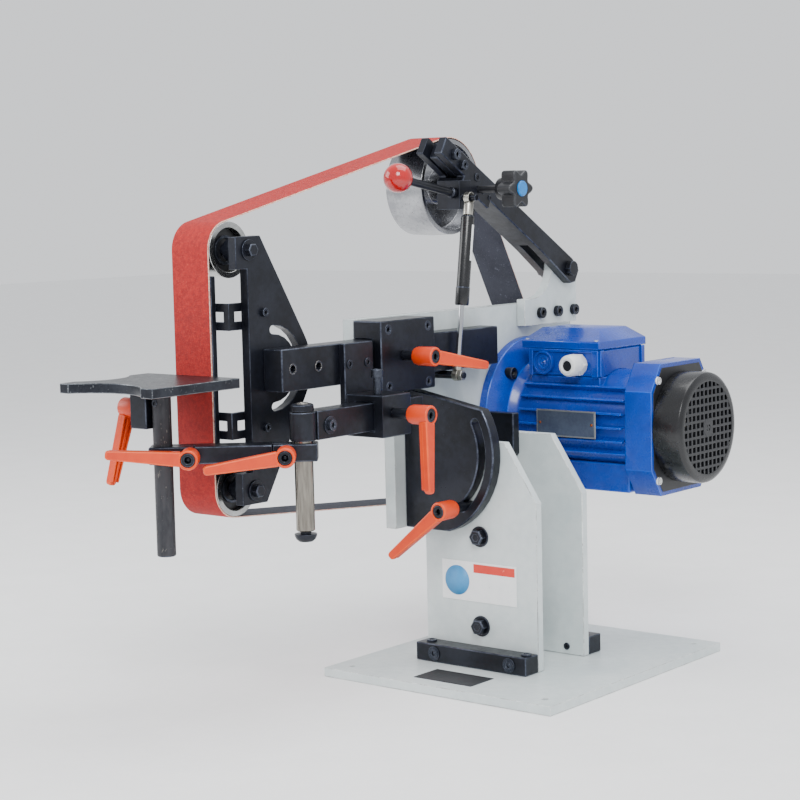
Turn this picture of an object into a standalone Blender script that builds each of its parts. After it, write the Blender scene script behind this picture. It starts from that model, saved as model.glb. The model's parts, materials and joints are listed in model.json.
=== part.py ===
"""A bench belt grinder with a tilting head, modelled as the separate pieces it bolts together from.

Metres, +Z up. The origin is the middle of the underside of the base plate. +X runs along the motor shaft
towards its fan, and -Y is the side where the belt meets the work.
"""

import math

import bmesh
import bpy
from mathutils import Matrix, Vector

GAP = 0.0003            # what touching pieces keep between them
STEPS = 20              # sides of an ordinary round piece

# Base and uprights
BASE_LENGTH, BASE_WIDTH, BASE_THICK = 0.340, 0.300, 0.010
UPRIGHT_X, UPRIGHT_TOP, UPRIGHT_THICK = (-0.090, 0.060), 0.256, 0.010
FRONT_UPRIGHT_Y, REAR_UPRIGHT_Y = -0.061, 0.027      # the front face of each upright
TIE_X, TIE_Z = -0.015, (0.052, 0.151)
TILT_PIVOT = (-0.076, 0.2425)       # x and z of the axis that the head tilts about
PIN_R, PIN_HOLE_R = 0.0080, 0.0083
STUD_HOLE_R = 0.0043                # clearance for the stud of a clamping lever

# Belt and wheels: each centre is y and z
BELT_WIDTH, BELT_THICK = 0.0508, 0.0012
BELT_MID = -0.1584      # middle of the belt across its width
DRIVE_CENTRE, DRIVE_R = (0.155, 0.260), 0.100
TRACK_CENTRE, TRACK_R = (0.053, 0.531), 0.0555
TOP_CENTRE, BOTTOM_CENTRE, SMALL_R = (-0.3175, 0.4715), (-0.3175, 0.2285), 0.0285

# Head
PLATE_LEFT, PLATE_RIGHT = -0.120, -0.106     # the two faces of the main plate
PLATE_LOW, PLATE_HIGH = 0.156, 0.3915
QUADRANT_Y = (-0.0760, -0.0613)     # front and back faces of the tilt quadrant
QUADRANT_R, TILT_SLOT_R, TILT_SLOT_LOW, TILT_SLOT_HIGH = 0.0915, 0.076, -48.5, 27
EAR_TIP, EAR_LOW, EAR_HIGH = -0.0225, 0.205, 0.278
RECEIVER_X, RECEIVER_Y, RECEIVER_Z = -0.0675, (-0.1587, -0.0665), (0.313, 0.3905)
RECEIVER_LEVER = (-0.1215, 0.3520)

# Motor
FLANGE_R, SHELL_R, SHELL_BORE = 0.0925, 0.0585, 0.0520
SHELL_X = (-0.0957, 0.0750)
SHROUD_X, GUARD_END, GUARD_R, GRILLE_R = (0.0753, 0.1095), 0.1456, 0.0625, 0.052
COWL_DROP = 0.0035      # how far the fan's cowl sits below the shaft
BOX_X, BOX_Y, BOX_Z = (-0.0650, 0.0300), (0.110, 0.205), (0.3120, 0.3430)

# Tension arm, knob and gas spring
TENSION_PIVOT = (0.2196, 0.4306)
TENSION_SLOPE = math.radians(31)
TENSION_ARM_X = (-0.118, -0.082)
ARM_END, ARM_HALF = 0.284, 0.0105
PIVOT_BOLT_HOLE_R = 0.0063
BALL, BALL_R = (-0.090, -0.096, 0.541), 0.016
KNOB_AXIS = (0.0396, 0.5270)
GAS_X, GAS_TOP, GAS_FOOT = -0.0725, (0.0078, 0.5180), (-0.0209, 0.3220)

# Tool arm and platen
TOOL_ARM_X, TOOL_ARM_Y, TOOL_ARM_Z = (-0.1055, -0.0800), (-0.301, 0.068), (0.3276, 0.3710)
PLATEN_PIVOT = (-0.2846, 0.350)
PLATEN_SLOT_R, SLOT_HALF = 0.0395, 0.0045
PLATEN_THICK, PLATEN_Z = 0.0074, (0.2540, 0.4460)
SIDE_PLATE_X = (-0.1162, -0.1060)
REST_BRACKET_Y = (-0.2135, -0.1670)
REST_RECEIVER_X, REST_RECEIVER_Z = (-0.0715, -0.0225), (0.275, 0.3187)
REST_ARM_X, REST_ARM_Z = (-0.0590, -0.0350), (0.2820, 0.3110)
REST_LEVER = (-0.1952, 0.2995)

# Work rest
SWIVEL_POST = (-0.047, -0.309)       # x and y of the bright post
POST_R, BOSS_R = 0.0095, 0.013
LINK_LENGTH, LINK_HEADING = 0.1397, math.radians(218.9)
LINK_Z, LINK_HALF = (0.2625, 0.2800), 0.0135
NEAR_LEVER, FAR_LEVER, LEVER_Z = 0.0162, 0.1108, 0.2705
TABLE_X, TABLE_Y, TABLE_TOP, TABLE_THICK = (-0.221, -0.091), (-0.471, -0.351), 0.3464, 0.010
TABLE_TILT_Z, KNUCKLE_LONG = 0.316, 0.0225

# Levers
HUB_R, LEVER_REACH, LEVER_THICK, LEVER_CRANK = 0.0103, 0.081, 0.010, math.radians(10)

# Local axes of a piece that is drawn flat or turned: where its local Z points
TO_X = Matrix(((0, 0, 1), (1, 0, 0), (0, 1, 0))).to_4x4()        # drawn in y and z
TO_FRONT = Matrix(((1, 0, 0), (0, 0, -1), (0, 1, 0))).to_4x4()   # drawn in x and z, local Z points to -Y
TO_Z = Matrix.Identity(4)                                        # drawn in x and y


# ---------------------------------------------------------------- scene and materials

for old in list(bpy.data.objects):
    bpy.data.objects.remove(old, do_unlink=True)

parts = bpy.data.collections.new("belt_grinder")
cutters = bpy.data.collections.new("cutters")
for group in (parts, cutters):
    bpy.context.scene.collection.children.link(group)


def material(name, colour, roughness, metallic=0.0):
    made = bpy.data.materials.new(name)
    made.use_nodes = True
    shader = made.node_tree.nodes["Principled BSDF"]
    shader.inputs["Base Color"].default_value = (*colour, 1)
    shader.inputs["Roughness"].default_value = roughness
    shader.inputs["Metallic"].default_value = metallic
    made.diffuse_color = (*colour, 1)
    return made


GREY_PAINT = material("grey_paint", (0.62, 0.66, 0.66), 0.45)
BLACK_STEEL = material("black_steel", (0.025, 0.028, 0.035), 0.42, 0.6)
BRIGHT_STEEL = material("bright_steel", (0.55, 0.54, 0.52), 0.28, 1.0)
ALUMINIUM = material("aluminium", (0.78, 0.78, 0.77), 0.3, 1.0)
MOTOR_BLUE = material("motor_blue", (0.01, 0.09, 0.55), 0.35)
BLACK_PLASTIC = material("black_plastic", (0.02, 0.02, 0.022), 0.5)
ORANGE_LEVER = material("orange_lever", (0.85, 0.12, 0.03), 0.45)
RED_BALL = material("red_ball", (0.62, 0.01, 0.015), 0.2)
ABRASIVE = material("abrasive_belt", (0.55, 0.05, 0.05), 0.9)
WHITE_PLASTIC = material("white_plastic", (0.85, 0.85, 0.85), 0.4)
COPPER = material("copper_winding", (0.5, 0.2, 0.08), 0.4, 0.8)


# ---------------------------------------------------------------- shapes

def put(name, mesh, finish, place=None, group=parts):
    obj = bpy.data.objects.new(name, mesh)
    group.objects.link(obj)
    if finish:
        mesh.materials.append(finish)
    if place:
        obj.matrix_world = place
    if group == cutters:
        obj.hide_render = True
        obj.display_type = "WIRE"
    return obj


def mesh_from(name, work):
    mesh = bpy.data.meshes.new(name)
    bmesh.ops.recalc_face_normals(work, faces=work.faces)
    work.to_mesh(mesh)
    work.free()
    return mesh


def bevelled(obj, width):
    bevel = obj.modifiers.new("edges", "BEVEL")
    bevel.width = width
    bevel.segments = 1
    bevel.limit_method = "ANGLE"
    bevel.angle_limit = math.radians(40)
    return obj


def box(name, low, high, finish, edge=0.0, group=parts):
    """A block between two opposite corners, with its origin at its middle."""
    low, high = Vector(low), Vector(high)
    work = bmesh.new()
    bmesh.ops.create_cube(work, size=1)
    bmesh.ops.scale(work, vec=high - low, verts=work.verts)
    obj = put(name, mesh_from(name, work), finish, Matrix.Translation((low + high) / 2), group)
    return bevelled(obj, edge) if edge else obj


def rod(name, start, end, radius, finish, steps=STEPS, group=parts):
    """A cylinder from start to end. Its origin is at start."""
    start, end = Vector(start), Vector(end)
    run = end - start
    work = bmesh.new()
    bmesh.ops.create_cone(work, cap_ends=True, segments=steps, radius1=radius,
                          radius2=radius, depth=run.length,
                          matrix=Matrix.Translation((0, 0, run.length / 2)))
    place = Matrix.Translation(start) @ run.to_track_quat("Z", "Y").to_matrix().to_4x4()
    return put(name, mesh_from(name, work), finish, place, group)


def turned(name, profile, facing, at, finish, ring=False, steps=STEPS, group=parts):
    """A profile of (radius, height) points, listed from the top down its outer side, turned about local Z.
    A ring's profile closes on itself down the outer side and up the bore."""
    mesh = bpy.data.meshes.new(name)
    points = [(r, 0, h) for r, h in profile]
    lines = [(i, i + 1) for i in range(len(points) - 1)]
    if ring:
        lines.append((len(points) - 1, 0))
    mesh.from_pydata(points, lines, [])
    obj = put(name, mesh, finish, Matrix.Translation(at) @ facing, group)
    screw = obj.modifiers.new("turn", "SCREW")
    screw.steps = screw.render_steps = steps
    screw.use_merge_vertices = True
    screw.merge_threshold = 0.00001
    return obj


def outline_mesh(name, outline, thick, holes=()):
    """A flat closed outline, with any holes, thickened evenly about its own plane, as a welded mesh."""
    curve = bpy.data.curves.new(name, "CURVE")
    curve.dimensions = "2D"
    curve.fill_mode = "BOTH"
    curve.extrude = thick / 2
    for loop in (outline, *holes):
        spline = curve.splines.new("POLY")
        spline.points.add(len(loop) - 1)
        for point, (u, v) in zip(spline.points, loop):
            point.co = (u, v, 0, 1)
        spline.use_cyclic_u = True
    source = bpy.data.objects.new(name, curve)
    cutters.objects.link(source)
    graph = bpy.context.evaluated_depsgraph_get()
    mesh = bpy.data.meshes.new_from_object(source.evaluated_get(graph))
    bpy.data.objects.remove(source)
    work = bmesh.new()
    work.from_mesh(mesh)
    bmesh.ops.remove_doubles(work, verts=work.verts, dist=0.000001)
    bmesh.ops.dissolve_limit(work, angle_limit=math.radians(0.5), verts=work.verts, edges=work.edges)
    mesh.materials.clear()
    work.to_mesh(mesh)
    work.free()
    return mesh


def flat(name, outline, facing, face, thick, finish, holes=(), edge=0.0006, group=parts):
    """A plate cut from sheet. face is where its lower side lies along the direction of its thickness."""
    along = facing.to_3x3() @ Vector((0, 0, 1))
    middle = along * (face + thick / 2)
    obj = put(name, outline_mesh(name, outline, thick, holes), finish, Matrix.Translation(middle) @ facing, group)
    return bevelled(obj, edge) if edge else obj


def arc(centre, radius, start, end, steps):
    """Points on a circle from one angle to another, in degrees, both ends included."""
    turns = [math.radians(start + (end - start) * i / steps) for i in range(steps + 1)]
    return [(centre[0] + radius * math.cos(t), centre[1] + radius * math.sin(t)) for t in turns]


def circle(centre, radius, steps=12):
    return arc(centre, radius, 0, 360 - 360 / steps, steps - 1)


def curved_slot(centre, radius, half_width, start, end, steps):
    """The outline of a slot that follows an arc, with round ends."""
    first, last = (arc(centre, radius, angle, angle, 1)[0] for angle in (start, end))
    return (arc(centre, radius + half_width, start, end, steps)
            + arc(last, half_width, end, end + 180, 6)[1:-1]
            + arc(centre, radius - half_width, end, start, steps)
            + arc(first, half_width, start + 180, start + 360, 6)[1:-1])


def boolean(obj, other, operation):
    step = obj.modifiers.new(operation.lower(), "BOOLEAN")
    step.operation = operation
    step.object = other
    return obj


def cut(obj, *tools):
    for tool in tools:
        boolean(obj, tool, "DIFFERENCE")
    return obj


def join(obj, *others):
    for other in others:
        boolean(obj, other, "UNION")
    return obj


def drill(name, start, end, radius, steps=12):
    return rod(name, start, end, radius, None, steps, group=cutters)


def helper(make, name, *args, **options):
    """A shape that is joined to another and isn't a piece of its own."""
    return make(name, *args, group=cutters, **options)


# ---------------------------------------------------------------- base

def base():
    half_w, half_l = BASE_WIDTH / 2, BASE_LENGTH / 2
    inset = 0.022
    corners = [(x * (half_w - inset), y * (half_l - inset)) for x in (-1, 1) for y in (-1, 1)]
    flat("base_plate", [(-half_w, -half_l), (half_w, -half_l), (half_w, half_l), (-half_w, half_l)],
         TO_Z, 0, BASE_THICK, GREY_PAINT, [circle(c, 0.0035, 12) for c in corners], 0.0008)

    left, right = UPRIGHT_X
    bottom = BASE_THICK + GAP
    outline = [(left, bottom), (right, bottom), (right, 0.193), (0.019, UPRIGHT_TOP), (left, UPRIGHT_TOP)]
    bolts = [circle((TIE_X, z), 0.0054, 14) for z in TIE_Z]
    pivot = circle(TILT_PIVOT, PIN_HOLE_R)
    stud = circle(tilt_stud(), STUD_HOLE_R)
    flat("front_upright", outline, TO_FRONT, -FRONT_UPRIGHT_Y - UPRIGHT_THICK, UPRIGHT_THICK, GREY_PAINT,
         [*bolts, pivot, stud])
    flat("rear_upright", outline, TO_FRONT, -REAR_UPRIGHT_Y - UPRIGHT_THICK, UPRIGHT_THICK, GREY_PAINT,
         [*bolts, pivot])

    foot_deep, foot_high = 0.0237, 0.020
    front = FRONT_UPRIGHT_Y - GAP
    rear = REAR_UPRIGHT_Y + UPRIGHT_THICK + GAP
    box("front_foot_bar", (left + 0.002, front - foot_deep, bottom), (right, front, bottom + foot_high),
        BLACK_STEEL, 0.0008)
    box("rear_foot_bar", (left + 0.002, rear, bottom), (right, rear + foot_deep, bottom + foot_high),
        BLACK_STEEL, 0.0008)

    inner_front = FRONT_UPRIGHT_Y + UPRIGHT_THICK + GAP
    inner_rear = REAR_UPRIGHT_Y - GAP
    for name, z in zip(("lower_tie_bar", "upper_tie_bar"), TIE_Z):
        profile = [(0, -(front - 0.009)), (0.0085, -(front - 0.009)), (0.0085, -(front - 0.002)),
                   (0.0105, -(front - 0.002)), (0.0105, -front), (0.005, -front), (0.005, -inner_front),
                   (0.009, -inner_front), (0.009, -inner_rear), (0.005, -inner_rear), (0.005, -rear),
                   (0.0095, -rear), (0.0095, -(rear + 0.008)), (0, -(rear + 0.008))]
        turned(name, profile, TO_FRONT, (TIE_X, 0, z), BLACK_STEEL, steps=12)

    pin_front, flange = QUADRANT_Y[1] - 0.008, 0.005
    profile = [(0, -pin_front), (PIN_R, -pin_front), (PIN_R, -rear), (0.012, -rear),
               (0.012, -(rear + flange)), (0, -(rear + flange))]
    turned("tilt_pivot_pin", profile, TO_FRONT, (TILT_PIVOT[0], 0, TILT_PIVOT[1]), BRIGHT_STEEL, steps=16)


def tilt_stud():
    """x and z of the clamp stud that runs in the quadrant's slot."""
    return arc(TILT_PIVOT, TILT_SLOT_R, TILT_SLOT_LOW, TILT_SLOT_LOW, 1)[0]


# ---------------------------------------------------------------- head

def head_plates():
    nose, heel, chin = RECEIVER_Y[0], 0.255, 0.312
    outline = [(-0.093, PLATE_LOW), (0.205, PLATE_LOW), (heel, 0.206), (heel, PLATE_HIGH), (nose, PLATE_HIGH),
               (nose, chin), (-0.093, chin)]
    flat("main_plate", outline, TO_X, PLATE_LEFT, PLATE_RIGHT - PLATE_LEFT, GREY_PAINT,
         [circle(DRIVE_CENTRE, 0.016, 20)], 0.0008)

    face = PLATE_RIGHT + GAP
    low = math.degrees(math.asin((PLATE_LOW - TILT_PIVOT[1]) / QUADRANT_R))
    high = math.degrees(math.asin((0.292 - TILT_PIVOT[1]) / QUADRANT_R))
    outline = [(face, PLATE_LOW)] + arc(TILT_PIVOT, QUADRANT_R, low, high, 14) + [(face, 0.3122)]
    thick = QUADRANT_Y[1] - QUADRANT_Y[0]
    slot = curved_slot(TILT_PIVOT, TILT_SLOT_R, SLOT_HALF, TILT_SLOT_LOW - 1, TILT_SLOT_HIGH, 10)
    quadrant = flat("tilt_quadrant", outline, TO_FRONT, -QUADRANT_Y[1], thick, BLACK_STEEL, [slot], 0.0012)
    x, z = TILT_PIVOT
    blind = QUADRANT_Y[1] - PIN_R - 0.0005
    cut(quadrant, drill("quadrant_pivot_hole", (x, blind, z), (x, QUADRANT_Y[1] + 0.01, z), PIN_HOLE_R))

    ear_y = REAR_UPRIGHT_Y - GAP
    outline = [(face, EAR_LOW), (-0.050, EAR_LOW), (EAR_TIP, 0.2325), (EAR_TIP, EAR_HIGH), (face, EAR_HIGH)]
    flat("rear_pivot_ear", outline, TO_FRONT, -ear_y, 0.012, BLACK_STEEL, [circle(TILT_PIVOT, PIN_HOLE_R)], 0.0008)

    low_x, high_x = face, RECEIVER_X
    low_z, high_z = RECEIVER_Z
    mouth_x = TOOL_ARM_X[1] + GAP
    floor, roof = TOOL_ARM_Z[0] - GAP, TOOL_ARM_Z[1] + GAP
    outline = [(low_x, low_z), (high_x, low_z), (high_x, high_z), (low_x, high_z), (low_x, roof),
               (mouth_x, roof), (mouth_x, floor), (low_x, floor)]
    front, back = RECEIVER_Y
    receiver = flat("arm_receiver", outline, TO_FRONT, -back, back - front, BLACK_STEEL, edge=0.001)
    y, z = RECEIVER_LEVER
    cut(receiver, drill("receiver_stud_hole", (mouth_x - 0.002, y, z), (high_x + 0.01, y, z), STUD_HOLE_R))
    for i, (y, z) in enumerate((y, z) for y in (-0.146, -0.078) for z in (0.3202, 0.3810)):
        cut(receiver, drill(f"receiver_counterbore_{i}", (high_x - 0.006, y, z), (high_x + 0.01, y, z), 0.0052))


def tension_bracket():
    """The foot bolted to the main plate, with a riser that carries the tension arm's pivot."""
    base_low, base_top, front, back = 0.365, 0.397, 0.142, 0.252
    hollow = arc((0.160, 0.437), 0.040, -90, 0, 6)
    crown = arc(TENSION_PIVOT, 0.0165, 100, 0, 6)
    outline = [(front, base_low), (back, base_low), (back, 0.420), *reversed(crown), *reversed(hollow),
               (front, base_top)]
    flat("tension_bracket", outline, TO_X, PLATE_RIGHT + GAP, 0.0117, GREY_PAINT,
         [circle(TENSION_PIVOT, PIVOT_BOLT_HOLE_R)])
    y, z = TENSION_PIVOT
    outer, inner = -TENSION_ARM_X[0] + 0.006, -TENSION_ARM_X[1] - 0.007
    profile = [(0, -inner), (0.009, -inner), (0.009, TENSION_ARM_X[1] + GAP), (0.006, TENSION_ARM_X[1] + GAP),
               (0.006, TENSION_ARM_X[0] - GAP), (0.010, TENSION_ARM_X[0] - GAP), (0.010, -outer), (0, -outer)]
    turned("tension_pivot_bolt", profile, TO_X, (0, y, z), BLACK_STEEL, steps=12)


# ---------------------------------------------------------------- motor

def motor():
    y, z = DRIVE_CENTRE
    face = PLATE_RIGHT + GAP
    start, end = SHELL_X
    profile = [(SHELL_R, end), (SHELL_R, start + 0.024), (0.066, start + 0.012), (FLANGE_R, start),
               (FLANGE_R, face), (0.010, face), (0.010, start + 0.006), (SHELL_BORE, start + 0.012), (SHELL_BORE, end)]
    shell = turned("motor_housing", profile, TO_X, (0, y, z), MOTOR_BLUE, ring=True, steps=32)
    fin_from, fin_to = start + 0.026, end - 0.004
    for i in range(6):
        angle = math.radians(140 + 14 * i)
        middle = Vector((0, math.cos(angle), math.sin(angle)))
        fin = helper(box, f"fin_{i}", (fin_from, -0.0012, 0), (fin_to, 0.0012, 0.010), None)
        centre = Vector(((fin_from + fin_to) / 2, y, z)) + middle * (SHELL_R + 0.003)
        fin.matrix_world = Matrix.Translation(centre) @ Matrix.Rotation(angle - math.pi / 2, 4, "X")
        join(shell, fin)
    ledge = helper(box, "terminal_ledge", (BOX_X[0], BOX_Y[0] + 0.002, z + 0.040),
                   (BOX_X[1], BOX_Y[1] - 0.002, BOX_Z[0] - GAP), None)
    foot = helper(box, "foot_pad", (-0.060, y - 0.043, z - 0.078), (0.068, y + 0.043, z - 0.045), None)
    bore = drill("shell_bore", (start + 0.012, y, z), (end + 0.01, y, z), SHELL_BORE, 32)
    cut(join(shell, ledge, foot), bore)

    stator_x = (-0.050, 0.040)
    turned("motor_stator", [(SHELL_BORE - GAP, stator_x[1]), (SHELL_BORE - GAP, stator_x[0]), (0.032, stator_x[0]),
                            (0.032, stator_x[1])], TO_X, (0, y, z), COPPER, ring=True)
    shield = [(SHELL_BORE - GAP, end), (SHELL_BORE - GAP, end - 0.010), (0.0082, end - 0.010), (0.0082, end)]
    turned("motor_end_shield", shield, TO_X, (0, y, z), ALUMINIUM, ring=True)

    rotor = [(0, 0.118), (0.006, 0.118), (0.006, 0.080), (0.0078, 0.080), (0.0078, 0.042), (0.0315, 0.042),
             (0.0315, -0.052), (0.0095, -0.052), (0.0095, -0.178), (0, -0.178)]
    turned("motor_rotor", rotor, TO_X, (0, y, z), BRIGHT_STEEL)

    hub = [(0.022, 0.116), (0.022, 0.096), (0.0063, 0.096), (0.0063, 0.116)]
    fan = turned("cooling_fan", hub, TO_X, (0, y, z), BLACK_PLASTIC, ring=True, steps=16)
    for i in range(7):
        angle = 2 * math.pi * i / 7
        blade = helper(box, f"blade_{i}", (0.097, -0.0012, 0.018), (0.114, 0.0012, 0.049), None)
        blade.matrix_world = (Matrix.Translation((0.1055, y, z)) @ Matrix.Rotation(angle, 4, "X")
                              @ Matrix.Translation((0, 0, 0.0335)) @ Matrix.Rotation(0.45, 4, "Z"))
        join(fan, blade)

    half_y, half_z, cut_y, cut_z, drop = 0.063, 0.074, 0.020, 0.030, 0.004
    corners = [(half_y, half_z - cut_z), (half_y - cut_y, half_z)]
    corners += [(-u, v) for u, v in reversed(corners)]
    corners += [(-u, -v) for u, v in corners]
    eight = [(y + u, z - drop + v) for u, v in corners]
    flat("fan_shroud", eight, TO_X, SHROUD_X[0], SHROUD_X[1] - SHROUD_X[0], MOTOR_BLUE,
         [circle((y, z - COWL_DROP), 0.0565, 24)], 0.0012)
    end_x = SHROUD_X[1] + GAP
    guard = [(GUARD_R - 0.006, GUARD_END), (GUARD_R, GUARD_END - 0.006), (GUARD_R, end_x),
             (GUARD_R - 0.003, end_x),
             (GUARD_R - 0.003, GUARD_END - 0.007), (GUARD_R - 0.007, GUARD_END - 0.003),
             (GRILLE_R, GUARD_END - 0.003), (GRILLE_R, GUARD_END)]
    cowl = turned("fan_guard", guard, TO_X, (0, y, z - COWL_DROP), BLACK_PLASTIC, ring=True, steps=28)
    bar_low, bar_high, half_bar = GUARD_END - 0.0028, GUARD_END - 0.0004, 0.0012
    for i, offset in enumerate((-0.036, -0.018, 0, 0.018, 0.036)):
        reach = math.sqrt((GRILLE_R + 0.002) ** 2 - offset ** 2)
        across, middle = y + offset, z - COWL_DROP
        upright = helper(box, f"grille_up_{i}", (bar_low, across - half_bar, middle - reach),
                         (bar_high, across + half_bar, middle + reach), None)
        level = helper(box, f"grille_across_{i}", (bar_low + 0.0001, y - reach, middle + offset - half_bar),
                       (bar_high - 0.0001, y + reach, middle + offset + half_bar), None)
        join(cowl, upright, level)
    terminal_box()


def terminal_box():
    """The box saddles the top of the housing, and its lid rises in four slopes to a flat top."""
    low, high = zip(BOX_X, BOX_Y, BOX_Z)
    body = box("terminal_box", low, high, MOTOR_BLUE, 0.002)
    y, z = DRIVE_CENTRE
    cut(body, drill("saddle", (BOX_X[0] - 0.01, y, z), (BOX_X[1] + 0.01, y, z), SHELL_R + GAP, 32))

    rim_low, rim_top, roof = BOX_Z[1] + GAP, 0.3520, 0.3655
    low_x, high_x = BOX_X[0] - 0.0095, BOX_X[1] + 0.002
    low_y, high_y = BOX_Y[0] - 0.0025, BOX_Y[1] + 0.0025
    levels = [(low_x, high_x, low_y, high_y, rim_low), (low_x, high_x, low_y, high_y, rim_top),
              (low_x + 0.011, high_x - 0.016, low_y + 0.026, high_y - 0.018, roof)]
    work = bmesh.new()
    rows = [[work.verts.new((x, y, h)) for x, y in ((x0, y0), (x1, y0), (x1, y1), (x0, y1))]
            for x0, x1, y0, y1, h in levels]
    work.faces.new(rows[0])
    work.faces.new(rows[-1])
    for lower, upper in zip(rows, rows[1:]):
        for i in range(4):
            work.faces.new((lower[i], lower[i - 1], upper[i - 1], upper[i]))
    bevelled(put("terminal_box_lid", mesh_from("terminal_box_lid", work), MOTOR_BLUE), 0.0006)

    side = BOX_Y[0] - GAP
    gland = [(0, 0.026), (0.0125, 0.026), (0.0142, 0.022), (0.0142, 0.002), (0.0120, 0.002), (0.0120, 0), (0, 0)]
    turned("cable_gland", gland, TO_FRONT, (0.003, side, 0.326), WHITE_PLASTIC, steps=6)
    turned("blanking_plug", [(0, 0.004), (0.0095, 0.004), (0.0105, 0), (0, 0)], TO_FRONT,
           (-0.044, side, 0.3268), BLACK_PLASTIC, steps=16)


# ---------------------------------------------------------------- wheels and belt

def wheels():
    half = BELT_WIDTH / 2 + 0.0006
    web = 0.007
    y, z = DRIVE_CENTRE
    drive = [(DRIVE_R, half), (DRIVE_R, -half), (DRIVE_R - 0.008, -half), (DRIVE_R - 0.010, -web), (0.026, -web),
             (0.024, -half + 0.006), (0.0098, -half + 0.006), (0.0098, half - 0.002), (0.024, half - 0.002),
             (0.026, web), (DRIVE_R - 0.010, web), (DRIVE_R - 0.008, half)]
    turned("drive_wheel", drive, TO_X, (BELT_MID, y, z), ALUMINIUM, ring=True, steps=36)
    y, z = TRACK_CENTRE
    track = [(TRACK_R - 0.0008, half), (TRACK_R, 0), (TRACK_R - 0.0008, -half),
             (TRACK_R - 0.006, -half), (TRACK_R - 0.008, -web), (0.019, -web), (0.018, -half + 0.004),
             (0.0063, -half + 0.004), (0.0063, half - 0.002), (0.018, half - 0.002), (0.019, web),
             (TRACK_R - 0.008, web), (TRACK_R - 0.006, half)]
    turned("tracking_wheel", track, TO_X, (BELT_MID, y, z), ALUMINIUM, ring=True, steps=30)
    for name, (y, z) in (("top_platen_wheel", TOP_CENTRE), ("bottom_platen_wheel", BOTTOM_CENTRE)):
        small = [(SMALL_R, half), (SMALL_R, -half), (SMALL_R - 0.006, -half), (SMALL_R - 0.007, -half + 0.010),
                 (0.0063, -half + 0.010), (0.0063, half - 0.010), (SMALL_R - 0.007, half - 0.010),
                 (SMALL_R - 0.006, half)]
        turned(name, small, TO_X, (BELT_MID, y, z), ALUMINIUM, ring=True, steps=24)


def tangent(first, second):
    """The unit normal at which a straight run leaves one wheel of the belt's loop and meets the next."""
    (a, r), (b, s) = first, second
    run = Vector(b) - Vector(a)
    lean = math.asin((r - s) / run.length)
    heading = math.atan2(run.y, run.x) - math.pi / 2 + lean
    return math.degrees(heading)


def belt_outline(grow):
    """The loop round the four wheels, counter-clockwise seen from +X, grown outwards from their rims."""
    loop = [(DRIVE_CENTRE, DRIVE_R), (TRACK_CENTRE, TRACK_R), (TOP_CENTRE, SMALL_R), (BOTTOM_CENTRE, SMALL_R)]
    steps = (14, 12, 8, 8)
    points = []
    for i, (centre, radius) in enumerate(loop):
        arrive = tangent(loop[i - 1], loop[i])
        leave = tangent(loop[i], loop[(i + 1) % 4])
        while leave < arrive:
            leave += 360
        points += arc(centre, radius + grow, arrive, leave, steps[i])
    return points


def belt():
    inner, outer = belt_outline(GAP), belt_outline(GAP + BELT_THICK)
    flat("abrasive_belt", outer, TO_X, BELT_MID - BELT_WIDTH / 2, BELT_WIDTH, ABRASIVE, [inner], 0)


# ---------------------------------------------------------------- tension arm

def along_arm(distance, across=0.0):
    """y and z of a point measured from the tension pivot up the arm, and square to it."""
    y, z = TENSION_PIVOT
    c, s = math.cos(TENSION_SLOPE), math.sin(TENSION_SLOPE)
    return y - distance * c + across * s, z + distance * s + across * c


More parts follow.
